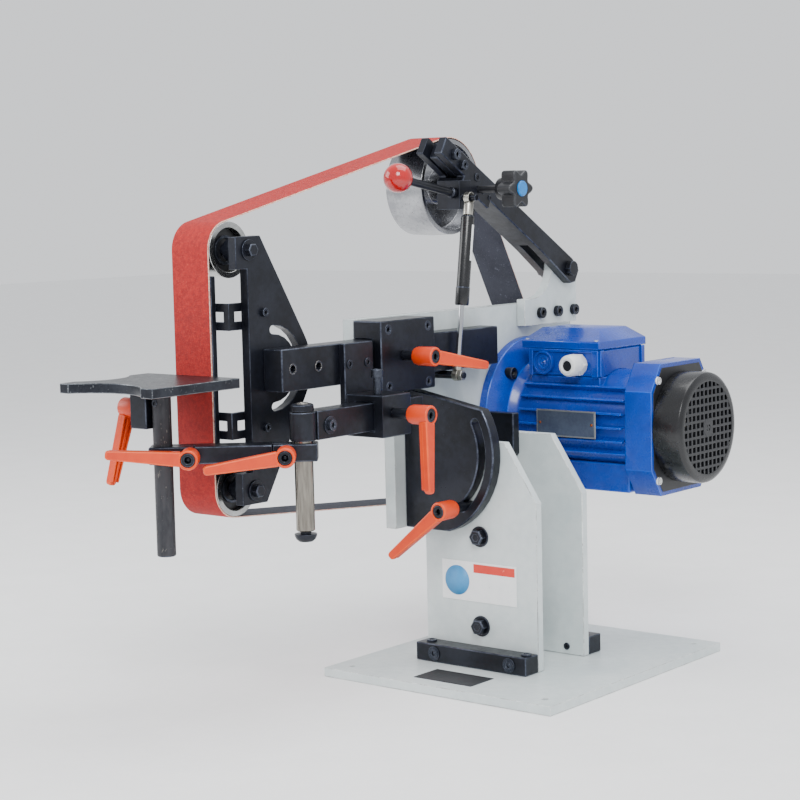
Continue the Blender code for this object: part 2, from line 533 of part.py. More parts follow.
def tension():
    left, right = TENSION_ARM_X
    outline = [along_arm(-0.020, -0.008), along_arm(-0.012, -0.014), along_arm(0.060, -ARM_HALF),
               along_arm(0.178, -ARM_HALF), along_arm(0.178, -0.0205), along_arm(0.235, -0.0205),
               along_arm(0.235, -ARM_HALF), along_arm(ARM_END, -ARM_HALF),
               along_arm(ARM_END, ARM_HALF), along_arm(0, 0.014), along_arm(-0.020, 0.008)]
    arm = flat("tension_arm", outline, TO_X, left, right - left, BLACK_STEEL,
               [circle(TENSION_PIVOT, PIVOT_BOLT_HOLE_R)], 0.001)
    gap = [along_arm(d, across) for d, across in ((-0.03, -0.03), (0.075, -0.03), (0.075, 0.03), (-0.03, 0.03))]
    riser = flat("riser_slot", gap, TO_X, PLATE_RIGHT, 0.0123, None, edge=0, group=cutters)
    gap = [along_arm(d, across) for d, across in ((0.165, -0.013), (0.30, -0.013), (0.30, 0.03), (0.165, 0.03))]
    fork = flat("fork_slot", gap, TO_X, -0.108, 0.016, None, edge=0, group=cutters)
    block = helper(box, "handle_block", (-0.113, 0.002, 0.5055), (-0.0815, 0.0235, 0.5375), None)
    stud = helper(rod, "gas_stud", (-0.082, *GAS_TOP), (-0.062, *GAS_TOP), 0.0035, None, steps=12)
    join(arm, block, stud)
    cut(arm, riser, fork)
    y, z = TRACK_CENTRE
    cut(arm, drill("axle_clearance", (left - 0.01, y, z), (-0.100, y, z), 0.0085))
    y, z = KNOB_AXIS
    cut(arm, drill("knob_screw_hole", (-0.095, y, z), (right + 0.01, y, z), STUD_HOLE_R))

    grip = rod("tension_handle", (-0.089, 0.0007, 0.5235), BALL, 0.0045, RED_BALL, steps=12)
    knob_ball = bpy.data.meshes.new("handle_ball")
    work = bmesh.new()
    bmesh.ops.create_uvsphere(work, u_segments=14, v_segments=10, radius=BALL_R, matrix=Matrix.Translation(BALL))
    work.to_mesh(knob_ball)
    work.free()
    join(grip, put("handle_ball", knob_ball, None, group=cutters))

    tongue_x = (-0.1055, -0.0945)
    tongue = [along_arm(0.185, -0.010), along_arm(0.274, -0.010), along_arm(0.274, 0.010), along_arm(0.185, 0.010)]
    carrier = flat("tracking_carrier", tongue, TO_X, tongue_x[0], tongue_x[1] - tongue_x[0], BLACK_STEEL,
                   edge=0.0008)
    y, z = TRACK_CENTRE
    join(carrier, helper(rod, "tracking_axle", (-0.100, y, z), (-0.176, y, z), 0.006, None, steps=16))

    y, z = KNOB_AXIS
    knob = [(0, 0.062), (0.009, 0.062), (0.010, 0.059), (0.021, 0.059), (0.022, 0.056), (0.022, 0.042),
            (0.014, 0.038), (0.012, 0.030), (0.004, 0.030), (0.004, -0.009), (0, -0.009)]
    turned("tracking_knob", knob, TO_X, (right, y, z), BLACK_PLASTIC, steps=18)


def gas_spring():
    foot, top = Vector((GAS_X, *GAS_FOOT)), Vector((GAS_X, *GAS_TOP))
    run = (top - foot).normalized()
    lean = math.atan2(foot.y - top.y, top.z - foot.z)
    upright = Matrix.Rotation(lean, 4, "X")
    length = (top - foot).length
    eye_r, eye_half = 0.0065, 0.0035

    rod_top = 0.126
    profile = [(0, rod_top), (0.003, rod_top), (0.003, 0.022), (0.0055, 0.021), (0.0055, 0.005), (0, 0.005)]
    piston = turned("gas_spring_rod", profile, upright, foot, BRIGHT_STEEL, steps=14)
    ring_of = [(eye_r, eye_half), (eye_r, -eye_half), (0.0040, -eye_half), (0.0040, eye_half)]
    eye = helper(turned, "foot_eye", ring_of, TO_X, foot, None, ring=True, steps=12)
    join(piston, eye)
    cut(piston, drill("foot_eye_hole", foot - Vector((0.01, 0, 0)), foot + Vector((0.01, 0, 0)), 0.0040))

    low, high = 0.0780, length
    profile = [(0, high - 0.005), (0.0055, high - 0.005), (0.0055, high - 0.020), (0.0075, high - 0.022),
               (0.0075, low), (0.0033, low), (0.0033, high - 0.030), (0, high - 0.030)]
    body = turned("gas_spring_cylinder", profile, upright, foot, BLACK_STEEL, steps=14)
    eye = helper(turned, "top_eye", ring_of, TO_X, top, None, ring=True, steps=12)
    join(body, eye)
    cut(body, drill("top_eye_hole", top - Vector((0.01, 0, 0)), top + Vector((0.01, 0, 0)), 0.0050))

    y, z = GAS_FOOT
    stud = [(0, -0.0620), (0.0036, -0.0620), (0.0036, GAS_X - eye_half - GAP), (0.0045, GAS_X - eye_half - GAP),
            (0.0045, PLATE_RIGHT + GAP), (0, PLATE_RIGHT + GAP)]
    turned("gas_spring_foot_stud", stud, TO_X, (0, y, z), BLACK_STEEL, steps=12)


# ---------------------------------------------------------------- tool arm and platen

def tool_arm():
    low, high = zip(TOOL_ARM_X, TOOL_ARM_Y, TOOL_ARM_Z)
    bar = box("tool_arm", low, high, BLACK_STEEL, 0.001)
    pivot_y, pivot_z = PLATEN_PIVOT
    for name, y in (("pivot_hole", pivot_y), ("clamp_hole", pivot_y + PLATEN_SLOT_R)):
        ends = [(x, y, pivot_z) for x in (TOOL_ARM_X[0] - 0.01, TOOL_ARM_X[1] + 0.01)]
        cut(bar, drill(name, *ends, STUD_HOLE_R))

    front, back = REST_BRACKET_Y
    bracket_x = (TOOL_ARM_X[1] + GAP, REST_RECEIVER_X[0] - GAP)
    box("rest_bracket", (bracket_x[0], front, REST_RECEIVER_Z[0]), (bracket_x[1], back, TOOL_ARM_Z[1]),
        BLACK_STEEL, 0.0008)
    left, right = REST_RECEIVER_X
    low, high = REST_RECEIVER_Z
    outline = [(left, low), (right, low), (right, high), (left, high)]
    mouth = [(REST_ARM_X[0] - GAP, REST_ARM_Z[0] - GAP), (REST_ARM_X[1] + GAP, REST_ARM_Z[0] - GAP),
             (REST_ARM_X[1] + GAP, REST_ARM_Z[1] + GAP), (REST_ARM_X[0] - GAP, REST_ARM_Z[1] + GAP)]
    block = flat("rest_receiver", outline, TO_FRONT, -back, back - front, BLACK_STEEL, [mouth], 0.001)
    y, z = REST_LEVER
    cut(block, drill("rest_stud_hole", (REST_ARM_X[1] - 0.003, y, z), (right + 0.01, y, z), STUD_HOLE_R))


def platen_side_plate():
    """Outline in y and z: a lug at each end carries a wheel, and the back is rounded about the tilt bolt."""
    centre_z = PLATEN_PIVOT[1]
    upper = [(-0.320, centre_z), (-0.320, 0.4525), (-0.336, 0.4525), (-0.336, 0.4850), (-0.300, 0.4855)]
    round_back = arc(PLATEN_PIVOT, 0.0575, 33, 0, 5)
    half = upper[1:] + round_back
    mirrored = [(y, 2 * centre_z - z) for y, z in reversed(half[:-1])]
    slot = curved_slot(PLATEN_PIVOT, PLATEN_SLOT_R, SLOT_HALF, -90, 90, 12)
    holes = [circle(PLATEN_PIVOT, STUD_HOLE_R, 12), slot]
    holes += [circle(centre, 0.0045, 12) for centre in (TOP_CENTRE, BOTTOM_CENTRE)]
    left, right = SIDE_PLATE_X
    flat("platen_side_plate", half + mirrored, TO_X, left, right - left, BLACK_STEEL, holes, 0.0008)


def platen():
    platen_side_plate()
    left, right = BELT_MID - BELT_WIDTH / 2, BELT_MID + BELT_WIDTH / 2
    face = TOP_CENTRE[0] - SMALL_R + 2 * GAP
    back = face + PLATEN_THICK
    box("platen", (left, face, PLATEN_Z[0]), (right, back, PLATEN_Z[1]), BLACK_STEEL, 0.0008)
    leg_thick, leg_front = 0.0032, back + GAP
    leg_back, leg_end = leg_front + leg_thick, left + 0.012
    corner, leg_tip = SIDE_PLATE_X[0] - GAP, -0.288
    for name, z in (("upper_platen_bracket", 0.4050), ("lower_platen_bracket", 0.2950)):
        outline = [(corner, leg_front), (corner, leg_tip), (corner - leg_thick, leg_tip),
                   (corner - leg_thick, leg_back), (leg_end, leg_back), (leg_end, leg_front)]
        angle = flat(name, outline, TO_Z, z - 0.0137, 0.0274, BLACK_STEEL, edge=0)
        low, high = z - 0.005, z + 0.005
        slot_a = helper(box, f"{name}_slot_a", (-0.150, leg_front - 0.01, low),
                        (-0.124, leg_front + 0.01, high), None)
        slot_b = helper(box, f"{name}_slot_b", (corner - 0.01, -0.329, low), (corner + 0.01, -0.293, high), None)
        cut(angle, slot_a, slot_b)

    head, plate = SIDE_PLATE_X[1] + 0.0080, SIDE_PLATE_X[1] + GAP
    inner, wheel_side = SIDE_PLATE_X[0] - GAP, BELT_MID + BELT_WIDTH / 2 + 0.0012
    for name, (y, z) in (("top_wheel_bolt", TOP_CENTRE), ("bottom_wheel_bolt", BOTTOM_CENTRE)):
        profile = [(0, head), (0.0065, head), (0.0065, plate + 0.0015), (0.0105, plate + 0.0015), (0.0105, plate),
                   (0.0040, plate), (0.0040, inner), (0.0115, inner), (0.0115, wheel_side), (0.0060, wheel_side),
                   (0.0060, -0.178), (0, -0.178)]
        turned(name, profile, TO_X, (0, y, z), BLACK_STEEL, steps=12)


# ---------------------------------------------------------------- work rest

def rest_spot(along, off=0.0):
    """x and y of a point measured down the link from the bright post, and square to it towards the user."""
    c, s = math.cos(LINK_HEADING), math.sin(LINK_HEADING)
    return SWIVEL_POST[0] + along * c - off * s, SWIVEL_POST[1] + along * s + off * c


def work_rest():
    x, y = SWIVEL_POST
    low, high = zip(REST_ARM_X, (y, -0.1305), REST_ARM_Z)
    arm = box("rest_arm", low, high, BLACK_STEEL, 0.0008)
    boss_ends = [(x, y, height) for height in (REST_ARM_Z[0] + 0.0002, REST_ARM_Z[1] - 0.0002)]
    join(arm, helper(rod, "arm_boss", *boss_ends, BOSS_R, None))
    cut(arm, drill("boss_bore", (x, y, 0.26), (x, y, 0.33), POST_R + GAP, 16))

    cap, foot = 0.3190, 0.1800
    profile = [(0, cap), (0.0100, cap), (0.0115, cap - 0.002), (0.0115, REST_ARM_Z[1] + GAP),
               (POST_R, REST_ARM_Z[1] + GAP), (POST_R, 0.1920), (0.0055, 0.1910), (0.0055, 0.1890),
               (0.0115, 0.1885), (0.0105, 0.1845), (0.006, foot), (0, foot)]
    turned("swivel_post", profile, TO_Z, (x, y, 0), BRIGHT_STEEL, steps=16)

    ends = (-0.0145, LINK_LENGTH + 0.013)
    outline = [rest_spot(ends[0], -LINK_HALF), rest_spot(ends[1], -LINK_HALF), rest_spot(ends[1], LINK_HALF),
               rest_spot(ends[0], LINK_HALF)]
    far = rest_spot(LINK_LENGTH)
    link = flat("rest_link", outline, TO_Z, LINK_Z[0], LINK_Z[1] - LINK_Z[0], BLACK_STEEL, edge=0.001)
    for name, spot in (("near_bore", SWIVEL_POST), ("far_bore", far)):
        cut(link, drill(name, (*spot, 0.25), (*spot, 0.29), POST_R + GAP, 16))
    slits = (("near_slit", 0.006, 0.030), ("far_slit", LINK_LENGTH - 0.032, LINK_LENGTH - 0.006))
    for name, start, end in slits:
        half = 0.0008
        slit = [rest_spot(start, half), rest_spot(end, half), rest_spot(end, -half), rest_spot(start, -half)]
        turn, outside = (end if name == "near_slit" else start), LINK_HALF + 0.01
        side = [rest_spot(turn - half), rest_spot(turn + half), rest_spot(turn + half, outside),
                rest_spot(turn - half, outside)]
        cut(link, flat(name, slit, TO_Z, 0.25, 0.04, None, edge=0, group=cutters),
            flat(name + "_side", side, TO_Z, 0.25, 0.04, None, edge=0, group=cutters))
    for name, distance in (("near_stud_hole", NEAR_LEVER), ("far_stud_hole", FAR_LEVER)):
        ends = [(*rest_spot(distance, off), LEVER_Z) for off in (-0.008, LINK_HALF + 0.01)]
        cut(link, drill(name, *ends, 0.0036, 12))

    turned("rest_post", [(0, 0.3325), (POST_R, 0.3325), (POST_R, 0.1700), (POST_R - 0.001, 0.1690), (0, 0.1690)],
           TO_Z, (*far, 0), BLACK_STEEL, steps=16)

    low_x, high_x = TABLE_X
    low_y, high_y = TABLE_Y
    left_bite = arc((low_x - 0.031, -0.4145), 0.048, 50, -50, 8)
    front_bite = arc((-0.158, low_y - 0.048), 0.070, 136.7, 43.3, 8)
    outline = [(high_x, low_y), (high_x, high_y), (low_x, high_y), *left_bite, (low_x, low_y), *front_bite]
    flat("rest_table", outline, TO_Z, TABLE_TOP - TABLE_THICK, TABLE_THICK, BLACK_STEEL, edge=0.0008)
    x, y = far
    side = x - POST_R - GAP
    z = TABLE_TILT_Z
    underside = TABLE_TOP - TABLE_THICK - GAP
    knuckle = box("table_knuckle", (side - KNUCKLE_LONG, y - 0.0125, 0.2970), (side, y + 0.0125, underside),
                  BLACK_STEEL, 0.0008)
    cut(knuckle, drill("knuckle_hole", (side - 0.04, y, z), (side + 0.01, y, z), STUD_HOLE_R))
    post = bpy.data.objects["rest_post"]
    cut(post, drill("post_cross_hole", (x - 0.02, y, z), (x + 0.02, y, z), STUD_HOLE_R, 12))


# ---------------------------------------------------------------- ratchet levers

def lever(name, root, axis, grip, exposed, depth, stud_r=0.004, hub_long=0.027):
    """A ratchet clamping lever: root is where its stud leaves the block, axis points out of the block, grip
    is the way its handle points, exposed the stud that shows and depth how far it screws in."""
    root, axis, grip = Vector(root), Vector(axis).normalized(), Vector(grip).normalized()
    place = Matrix((axis.cross(grip), grip, axis)).transposed().to_4x4()
    face = exposed + hub_long
    collar_r, collar_from = 0.0055, 0.0012
    profile = [(0, face), (HUB_R, face), (HUB_R, exposed + 0.002), (HUB_R - 0.002, exposed), (collar_r, exposed),
               (collar_r, collar_from), (stud_r, collar_from), (stud_r, -depth), (0, -depth)]
    obj = turned(name, profile, place, root, ORANGE_LEVER, steps=14)
    right = [(0.0075, 0), (0.0045, LEVER_REACH - 0.002), (0.003, LEVER_REACH)]
    outline = right + [(-u, v) for u, v in reversed(right)]
    turn = place @ Matrix.Rotation(LEVER_CRANK, 4, "X")
    handle = put(name + "_handle", outline_mesh(name + "_handle", outline, LEVER_THICK), None,
                 Matrix.Translation(root + axis * (face - 0.0065)) @ turn, cutters)
    return join(obj, bevelled(handle, 0.0015))


def levers():
    x, z = tilt_stud()
    lever("tilt_lever", (x, QUADRANT_Y[0] - GAP, z), (0, -1, 0), (-0.743, 0, -0.669), 0.018, 0.024)
    y, z = RECEIVER_LEVER
    lever("arm_lever", (-0.0675 + GAP, y, z), (1, 0, 0), (0, 0.982, -0.191), 0.017, 0.010)
    y, z = REST_LEVER
    lever("rest_arm_lever", (REST_RECEIVER_X[1] + GAP, y, z), (1, 0, 0), (0, -0.225, -0.974), 0.022, 0.0105)
    start = Vector((*rest_spot(0), 0))
    out = Vector((*rest_spot(0, 1), 0)) - start
    down_link = Vector((*rest_spot(1), 0)) - start
    for name, distance, rise in (("link_near_lever", NEAR_LEVER, -7), ("link_far_lever", FAR_LEVER, 6)):
        spot = rest_spot(distance, LINK_HALF + GAP)
        grip = down_link * math.cos(math.radians(rise)) + Vector((0, 0, math.sin(math.radians(rise))))
        lever(name, (*spot, LEVER_Z), out, grip, 0.003, 0.015, 0.0033)
    x, y = rest_spot(LINK_LENGTH)
    side = x - POST_R - 2 * GAP - KNUCKLE_LONG
    lever("table_lever", (side, y, TABLE_TILT_Z), (-1, 0, 0), (0, -0.174, -0.985), 0.0012, 0.0400, hub_long=0.0205)


base()
head_plates()
tension_bracket()
motor()
wheels()
belt()
tension()
gas_spring()
tool_arm()
platen()
work_rest()
levers()

for piece in parts.objects:
    if piece.type == "MESH":
        piece.data.set_sharp_from_angle(angle=math.radians(35))
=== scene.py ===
"""The looks of a bench belt grinder, piece by piece in the order it is put together.

Metres, +Z up, in the CAD's own frame. +X runs along the motor shaft to its fan, and -Y faces the user.
"""

import json
import math

import bmesh
import bpy
from mathutils import Matrix, Vector

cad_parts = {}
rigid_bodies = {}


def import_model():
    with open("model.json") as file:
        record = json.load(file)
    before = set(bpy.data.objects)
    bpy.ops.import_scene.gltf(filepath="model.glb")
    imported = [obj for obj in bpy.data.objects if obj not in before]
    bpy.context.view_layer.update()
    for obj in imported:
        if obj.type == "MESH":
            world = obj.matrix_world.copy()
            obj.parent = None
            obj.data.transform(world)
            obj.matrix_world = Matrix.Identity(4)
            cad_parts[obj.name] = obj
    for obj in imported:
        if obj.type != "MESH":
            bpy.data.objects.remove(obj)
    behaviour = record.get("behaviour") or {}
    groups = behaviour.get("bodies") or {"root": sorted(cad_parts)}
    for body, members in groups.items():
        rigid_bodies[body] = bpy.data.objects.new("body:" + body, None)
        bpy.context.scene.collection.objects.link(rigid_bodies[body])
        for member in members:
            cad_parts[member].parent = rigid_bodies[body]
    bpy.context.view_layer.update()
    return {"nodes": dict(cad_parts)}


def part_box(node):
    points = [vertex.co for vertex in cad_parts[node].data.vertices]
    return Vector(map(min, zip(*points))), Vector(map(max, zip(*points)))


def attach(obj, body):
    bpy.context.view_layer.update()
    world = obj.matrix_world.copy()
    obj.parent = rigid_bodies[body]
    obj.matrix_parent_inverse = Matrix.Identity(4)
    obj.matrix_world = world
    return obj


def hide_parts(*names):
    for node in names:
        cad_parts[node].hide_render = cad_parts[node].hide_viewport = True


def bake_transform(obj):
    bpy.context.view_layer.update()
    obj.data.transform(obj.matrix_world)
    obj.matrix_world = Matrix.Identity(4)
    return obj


for old in list(bpy.data.objects):
    bpy.data.objects.remove(old, do_unlink=True)

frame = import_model()

MOTOR_AXIS = (0.155, 0.260)  # y and z of the shaft
TRACK_AXIS = (0.053, 0.531)
TOP_AXIS, LOW_AXIS = (-0.3175, 0.4715), (-0.3175, 0.2285)
DRIVE_RADIUS, TRACK_RADIUS, PLATEN_RADIUS = 0.100, 0.0555, 0.0285
HALF_RIM = 0.0260
BELT_MIDDLE = -0.1584
BRIGHT_POST, DARK_POST = (-0.047, -0.309), (-0.1557, -0.3967)  # x and y
FRONT, RIGHT, UP = (0, -1, 0), (1, 0, 0), (0, 0, 1)  # ways that screws face


class Value:
    """One output of a shader node. It takes arithmetic, and it feeds the next node."""

    def __init__(self, out):
        self.out = out

    def node(self, kind, settings, values, out=0):
        tree = self.out.id_data
        made = tree.nodes.new(kind)
        for name, setting in settings.items():
            setattr(made, name, setting)
        for name, value in values.items():
            if isinstance(value, Value):
                tree.links.new(value.out, made.inputs[name])
            else:
                made.inputs[name].default_value = value
        return Value(made.outputs[out])

    def math(self, operation, other):
        return self.node("ShaderNodeMath", {"operation": operation}, {0: self, 1: other})

    def __add__(self, other):
        return self.math("ADD", other)

    def __mul__(self, other):
        return self.math("MULTIPLY", other)

    def __sub__(self, other):
        return self.math("SUBTRACT", other)

    def __rsub__(self, other):
        return self * -1 + other

    __radd__ = __add__
    __rmul__ = __mul__

    def noise(self, scale, detail=4.0):
        return self.node("ShaderNodeTexNoise", {}, {"Vector": self, "Scale": scale, "Detail": detail})

    def stretched(self, x, y, z):
        return self.node("ShaderNodeVectorMath", {"operation": "MULTIPLY"}, {0: self, 1: (x, y, z)})

    def step(self, low, high):
        """0 below low and 1 above high, with a soft climb between."""
        return self.node("ShaderNodeMapRange", {"interpolation_type": "SMOOTHSTEP"},
                         {"Value": self, "From Min": low, "From Max": high})

    def between(self, first, second):
        """The colour this far from the first to the second."""
        return self.node("ShaderNodeMix", {"data_type": "RGBA"}, {0: self, 6: first, 7: second}, 2)


def rgb(red, green, blue):
    """A colour as the eye gives it, 0 to 255, turned to light."""
    return tuple(((c / 255 + 0.055) / 1.055) ** 2.4 if c > 10 else c / 3295 for c in (red, green, blue)) + (1,)


def surface(name, colour, second, speck, rough, metal=0.0, patch=14, grain=700, relief=0.06, run=(1, 1, 1),
            share=0.64, spread=0.16, coat=0.0):
    """Paint, plastic or metal: two tones in soft patches, fine specks, and a grain that also lifts the surface.
    run squeezes the pattern along an axis, as a brush or a rolling mill does. share is where specks begin."""
    made = bpy.data.materials.new(name)
    made.use_nodes = True
    shader = made.node_tree.nodes["Principled BSDF"]
    spot = Value(made.node_tree.nodes.new("ShaderNodeTexCoord").outputs["Object"])
    spot = spot.stretched(*run)
    patches = spot.noise(patch, 5)
    fine = spot.noise(grain, 3)
    dirt = spot.noise(patch * 7, 6)
    tone = (patches * 0.65 + dirt * 0.35).step(0.36, 0.64).between(colour, second)
    specks = (fine * 0.5 + dirt * 0.5).step(share, share + 0.06)
    links = made.node_tree.links
    links.new(specks.between(tone, speck).out, shader.inputs["Base Color"])
    links.new((dirt * spread + fine * (spread * 0.6) + (rough - spread * 0.8)).out, shader.inputs["Roughness"])
    bump = fine.node("ShaderNodeBump", {}, {"Strength": relief, "Distance": 0.001, "Height": fine + dirt * 0.5})
    links.new(bump.out, shader.inputs["Normal"])
    shader.inputs["Metallic"].default_value = metal
    shader.inputs["Coat Weight"].default_value = coat
    return made


def rounded(obj, width, edge_wear_and_highlight_slot=1):
    """Edges rounded to a radius and given the edge finish, which is wear from handling on most finishes and a painted
    highlight, a lighter copy of the colour, on the blue enamel and the orange plastic.
    """
    bevel = obj.modifiers.new("edges", "BEVEL")
    bevel.width = width
    bevel.segments = 3
    bevel.limit_method = "ANGLE"
    bevel.angle_limit = math.radians(30)
    bevel.use_clamp_overlap = False
    bevel.harden_normals = True
    bevel.material = edge_wear_and_highlight_slot
    return obj


def dress(node, finish, edge_wear_and_highlight, width=0.0003, chamfer=None):
    """A CAD node in its own finish: its facets joined to clean faces, its edges rounded, and its chamfers in the edge
    finish, which is wear on some finishes and a painted highlight on others.
    """
    obj = frame["nodes"][node]
    mesh = obj.data
    mesh.materials.clear()
    mesh.materials.append(finish)
    mesh.materials.append(edge_wear_and_highlight)
    if "custom_normal" in mesh.attributes:
        mesh.attributes.remove(mesh.attributes["custom_normal"])
    for polygon in mesh.polygons:
        polygon.use_smooth = True
        polygon.material_index = int(chamfer is not None and chamfer(polygon.normal))
    weld = obj.modifiers.new("weld", "WELD")
    weld.merge_threshold = 0.000005
    faces = obj.modifiers.new("faces", "DECIMATE")
    faces.decimate_type = "DISSOLVE"
    faces.angle_limit = math.radians(0.4)
    faces.delimit = {"MATERIAL"}
    if width:
        rounded(obj, width)
        obj.modifiers["edges"].segments = 2
    return obj


def chamfer_of(axis):
    """A test for the sloped rim of a sheet whose thickness lies along that axis."""
    return lambda normal: 0.25 < abs(normal[axis]) < 0.95


def block_chamfer(normal):
    """A test for the sloped rims of a block."""
    return max(abs(n) for n in normal) < 0.95


# ------------------------------------------------------------------ base
# The base is flame-cut plate in pale grey enamel, thick and a little orange-peeled. Its corners are broken by
# hand and the paint there is thin, so bare steel shows through.

PALE = surface("grey_enamel", rgb(206, 214, 214), rgb(192, 202, 203), rgb(160, 168, 168), 0.42, grain=520,
               relief=0.05, share=0.70, coat=0.15)
PALE_WORN = surface("grey_enamel_edge", rgb(222, 227, 226), rgb(168, 172, 172), rgb(116, 116, 112), 0.38, 0.1,
                    patch=60, grain=900, relief=0.08, share=0.60)
ENAMELLED = (PALE, PALE_WORN)
dress("base_plate", *ENAMELLED, 0.0003, chamfer_of(2))
for node in ("front_upright", "rear_upright"):
    dress(node, *ENAMELLED, 0.0003, chamfer_of(1))

# The two foot bars and the tie bars between the uprights are blacked mild steel. The oxide is bluish and patchy, and
# it has rubbed through to bright steel along every edge. The pivot pin is bright turned steel.

BLACK = surface("blacked_steel", rgb(30, 33, 43), rgb(16, 18, 25), rgb(66, 71, 82), 0.34, 0.45, patch=22, grain=650,
                relief=0.10, share=0.66, spread=0.22)
BLACK_WORN = surface("blacked_steel_edge", rgb(84, 90, 104), rgb(38, 42, 54), rgb(160, 165, 174), 0.32, 0.7, patch=70,
                     grain=800, relief=0.10, share=0.62)
BLACKED = (BLACK, BLACK_WORN)
BRIGHT = surface("turned_steel", rgb(186, 181, 173), rgb(150, 146, 140), rgb(108, 102, 94), 0.27, 1.0, patch=30,
                 grain=500, relief=0.06, run=(1, 1, 4), share=0.70)
for node in ("front_foot_bar", "rear_foot_bar"):
    dress(node, *BLACKED, 0.0003, block_chamfer)
dress("tilt_pivot_pin", BRIGHT, BRIGHT)


def solid(name, work, finish, edge_wear_and_highlight, width, place=None):
    """A mesh made from drawn faces, smoothly shaded, with its edges rounded."""
    mesh = bpy.data.meshes.new(name)
    bmesh.ops.recalc_face_normals(work, faces=work.faces)
    work.to_mesh(mesh)
    work.free()
    if place:
        mesh.transform(place)
    for polygon in mesh.polygons:
        polygon.use_smooth = True
    mesh.materials.append(finish)
    mesh.materials.append(edge_wear_and_highlight)
    obj = bpy.data.objects.new(name, mesh)
    bpy.context.scene.collection.objects.link(obj)
    return rounded(obj, width) if width else obj


def facing(at, axis):
    """A place at a point, with its Z turned to an axis."""
    return Matrix.Translation(at) @ Vector(axis).to_track_quat("Z", "Y").to_matrix().to_4x4()


def along_x(x, y, z):
    """A place at a point, with its Z along the shafts and its X down."""
    return Matrix.Translation((x, y, z)) @ Matrix.Rotation(math.pi / 2, 4, "Y")


def turned(name, profile, place, finish, edge_wear_and_highlight, width=0.0005, steps=96, ring=False):
    """A profile of radius and height, listed from the top down its outer side, turned in a lathe. Unless it's a
    ring, which closes up its bore, both ends are faced flat."""
    work = bmesh.new()
    rows = []
    for radius, height in profile:
        if radius < 1e-6:
            continue
        turns = [2 * math.pi * i / steps for i in range(steps)]
        rows.append([work.verts.new((radius * math.cos(t), radius * math.sin(t), height)) for t in turns])
    pairs = list(zip(rows, rows[1:]))
    if ring:
        pairs.append((rows[-1], rows[0]))
    else:
        work.faces.new(rows[0])
        work.faces.new(rows[-1])
    for upper, lower in pairs:
        for i in range(steps):
            work.faces.new((lower[i - 1], lower[i], upper[i], upper[i - 1]))
    return solid(name, work, finish, edge_wear_and_highlight, width, place)


def ringed(*shape):
    """A ring turned in a lathe, its profile closed round its bore."""
    return turned(*shape, ring=True)


def block(name, low, high, finish, edge_wear_and_highlight, width=0.0005, place=None):
    """A box between two corners."""
    low, high = Vector(low), Vector(high)
    work = bmesh.new()
    bmesh.ops.create_cube(work, size=1)
    bmesh.ops.scale(work, vec=high - low, verts=work.verts)
    bmesh.ops.translate(work, vec=(low + high) / 2, verts=work.verts)
    return solid(name, work, finish, edge_wear_and_highlight, width, place)


def plate(name, outline, place, thick, finish, edge_wear_and_highlight, width=0.0005):
    """A flat outline with no hole in it, raised by its thickness along the place's Z."""
    work = bmesh.new()
    floor = work.faces.new([work.verts.new((u, v, 0)) for u, v in outline])
    raised = bmesh.ops.extrude_face_region(work, geom=[floor])["geom"]
    bmesh.ops.translate(work, vec=(0, 0, thick), verts=[v for v in raised if isinstance(v, bmesh.types.BMVert)])
    return solid(name, work, finish, edge_wear_and_highlight, width, place)


def fused(name, *shapes):
    """Several shapes made one piece, their rounded edges and finishes kept."""
    for shape in bpy.context.view_layer.objects:
        shape.select_set(shape in shapes)
    bpy.context.view_layer.objects.active = shapes[0]
    bpy.ops.object.convert(target="MESH")
    bpy.ops.object.join()
    shapes[0].name = name
    return shapes[0]


def fit(obj, body, stands_for=()):
    """Hangs a finished piece on the body that it moves with."""
    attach(obj, body)
    if stands_for:
        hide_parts(*stands_for)
    return obj


def numbered(stem, *lengths):
    """A piece's name from its place in whole millimetres, with m for minus."""
    return "_".join([stem, *(str(round(length * 1000)) for length in lengths)]).replace("-", "m")


def socket_screw(name, at, axis, radius, height, body, finish=None, washer=0.0):
    """A socket cap screw: a knurled head, a hexagonal recess and, where asked for, a washer under it."""
    place = facing(at, axis)
    finish = finish or BLACK
    head = [(radius, height), (radius, washer and 0.0012), (radius * 0.5, washer and 0.0012),
            (radius * 0.5, height * 0.35),
            (radius * 0.56, height * 0.35), (radius * 0.56, height)]
    shapes = [ringed(name, head, place, finish, BLACK_WORN, radius * 0.09, 48),
              ringed(name + "_hex", [(radius * 0.62, height * 0.96), (radius * 0.62, height * 0.3),
                                     (radius * 0.50, height * 0.3), (radius * 0.50, height * 0.96)], place, finish,
                     BLACK, 0, 6),
              turned(name + "_floor", [(radius * 0.6, height * 0.4), (radius * 0.6, height * 0.3), (0, height * 0.3)],
                     place, finish, BLACK, 0, 24)]
    if washer:
        shapes.append(ringed(name + "_washer", [(washer, 0.0012), (washer, 0), (radius * 0.4, 0),
                                                (radius * 0.4, 0.0012)],
                             place, finish, BLACK_WORN, 0.0002, 48))
    return fit(fused(name, *shapes), body)


# The tie bars end in flanged hexagon bolts on the front upright and in nuts behind the rear one.

